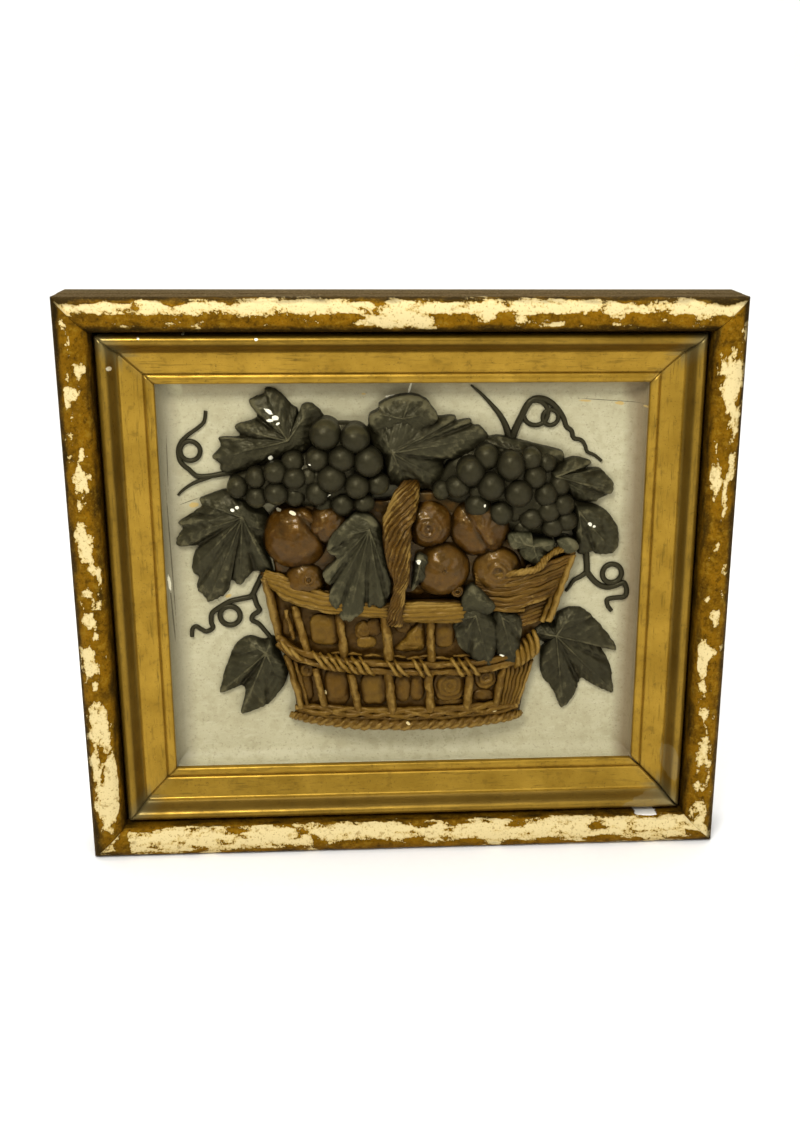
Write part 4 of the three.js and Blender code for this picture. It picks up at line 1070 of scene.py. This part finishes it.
def buildLeavesAndGrapes():
    random.seed(11)
    # Dark oil paint on plaster, brushed and varnished once: satin, and rubbed paler on the high points.
    paint = glazedPaint("green_black_oil_paint", leafLook)
    grapePaint = glazedPaint("black_oil_paint", grapeLook)
    bm = bmesh.new()
    for leaf in leaves:
        rimLeaf(bm, leaf, leaf.get("tone", random.uniform(0, 0.4)))
    made = [finishPiece("relief_leaves", bm, paint)]
    bm = bmesh.new()
    for bed in grapeLook["beds"]:
        rimLeaf(bm, bed, 0.0)
    for x, z, radius, middle in grapeLook["grapes"]:
        def shape(dx, dz, x=x):
            tip = 0.3 * math.exp(-((math.hypot(dx, dz) / 1.6) ** 2))
            return 0.4 * noise.noise(Vector((dx / 5, dz / 5, x))) + tip
        wide, tall = (radius * grapeLook["grapeSwell"] * random.uniform(0.95, 1.04) for _ in range(2))
        boss(bm, x, z, wide, tall, middle, 0.95, 2.0, 30, 24, random.uniform(0, 0.5), shape)
    made.append(finishPiece("relief_grapes", bm, grapePaint))
    bm = bmesh.new()
    for first, last, *points in tendrilLook["runs"]:
        line = [(x, z, 1.2 + coveHeight(x, z), first + (last - first) * i / (len(points) - 1))
                for i, (x, z) in enumerate(points)]
        sweptTube(bm, line, 14, len(points) * 14, tone=0.2)
    for x, z, radius, thick in tendrilLook["rings"]:
        turns = [a * math.pi / 6 for a in range(12)]
        hoop = [(x + radius * math.cos(a), z + radius * math.sin(a), 1.4, thick) for a in turns]
        sweptTube(bm, hoop, 14, 72, closed=True, tone=0.2)
    made.append(finishPiece("relief_tendrils", bm, grapePaint))
    return made


# runs: first and last radius, then x and z of each point; rings: x, z, radius and thickness
tendrilLook = {
    "runs": [
        (2.2, 1.4, (-118, 85), (-136, 84), (-148, 82), (-158, 82), (-164, 87), (-170, 93), (-171.5, 101),
         (-169.5, 107.5),
         (-164.5, 113), (-156, 119), (-151, 124), (-149.5, 132)),
        (1.9, 0.9, (-144, 83), (-152, 80), (-162, 76), (-169.5, 71), (-173.5, 67)),
        (3.2, 0.8, (81, 104), (78, 117), (73, 127), (67, 134.5), (59, 143), (50, 151)),
        (3.0, 1.2, (81, 104), (84.5, 116), (89, 126), (94, 136), (100, 140), (108, 139), (115, 134),
         (121, 126),
         (124, 118.5), (128, 115), (130, 109.5), (136, 107.5), (139, 103.5), (141, 98.5), (147, 95.5),
         (152.5, 91)),
        (2.4, 1.7, (-112, 2), (-117, -8), (-121, -15), (-128, -17), (-137, -19), (-146, -24), (-152, -29),
         (-153, -36),
         (-152, -41), (-157, -44), (-161, -42), (-165, -39.5), (-168, -42), (-168.5, -48)),
        (2.2, 1.8, (-119, -14), (-117, -22), (-115, -27), (-120, -31), (-121, -35), (-116, -38),
         (-112, -43), (-106, -51)),
        (2.7, 1.8, (143, 18), (144, 8), (144.5, 1), (146, -1), (150, -6), (155, -10), (161, -12),
         (167, -11), (172, -9),
         (175, -9), (177, -15), (175.5, -20), (170, -21), (165, -21.5), (161.5, -23), (162.5, -28),
         (165.5, -32)),
        (2.2, 1.2, (144.5, 1), (139, -3), (134, -6), (131, -11), (128, -15))],
    "rings": [(-162.5, 101.5, 7.5, 1.9), (100, 129, 9.5, 1.9), (111.5, 125.5, 6, 1.8),
              (-138, -31, 7.8, 2.2),
              (164.5, -0.5, 7.7, 2.2)],
}


def settleGlazeAndShade(pieces, cellMm=0.6, reachMm=3.2, fullMm=4):
    # marks how deep each point lies below the surface round it, for the dark glaze that settles there and the
    # painted shade in those recesses
    wide, tall = int(2 * panelX / cellMm) + 3, int(2 * panelZ / cellMm) + 3
    top = np.zeros((tall, wide), np.float32)
    points = []
    for piece in pieces:
        co = np.empty(len(piece.data.vertices) * 3, np.float32)
        piece.data.vertices.foreach_get("co", co)
        co = co.reshape(-1, 3) / mm
        column = np.clip(((co[:, 0] + panelX) / cellMm).astype(int) + 1, 0, wide - 1)
        row = np.clip(((co[:, 2] + panelZ) / cellMm).astype(int) + 1, 0, tall - 1)
        height = -co[:, 1] - groundDepth
        np.maximum.at(top, (row, column), height)
        points.append((piece, row, column, height))
    for _ in range(2):    # close cells that no vertex fell in
        grown = top
        for shift in ((0, 1), (0, -1), (1, 0), (-1, 0)):
            grown = np.maximum(grown, np.roll(top, shift, (0, 1)))
        top = np.where(top < grown - 3, grown, top)
    level = top
    width = int(reachMm / cellMm)
    for axis in (0, 1) * 3:
        level = sum(np.roll(level, k, axis) for k in range(-width, width + 1)) / (2 * width + 1)
    for piece, row, column, height in points:
        layer = piece.data.attributes.new("hollow", "FLOAT", "POINT")
        hollow = np.clip((level[row, column] - height) / fullMm, -1, 1)
        layer.data.foreach_set("value", hollow.astype(np.float32))


ground = buildGround()
print("ground built")
basket = buildBasket()
print("basket built")
fruit = buildFruit()
print("fruit built")
dark = buildLeavesAndGrapes()
print("leaves, grapes and tendrils built")
settleGlazeAndShade([ground, basket, fruit, *dark])
print("glaze settled")
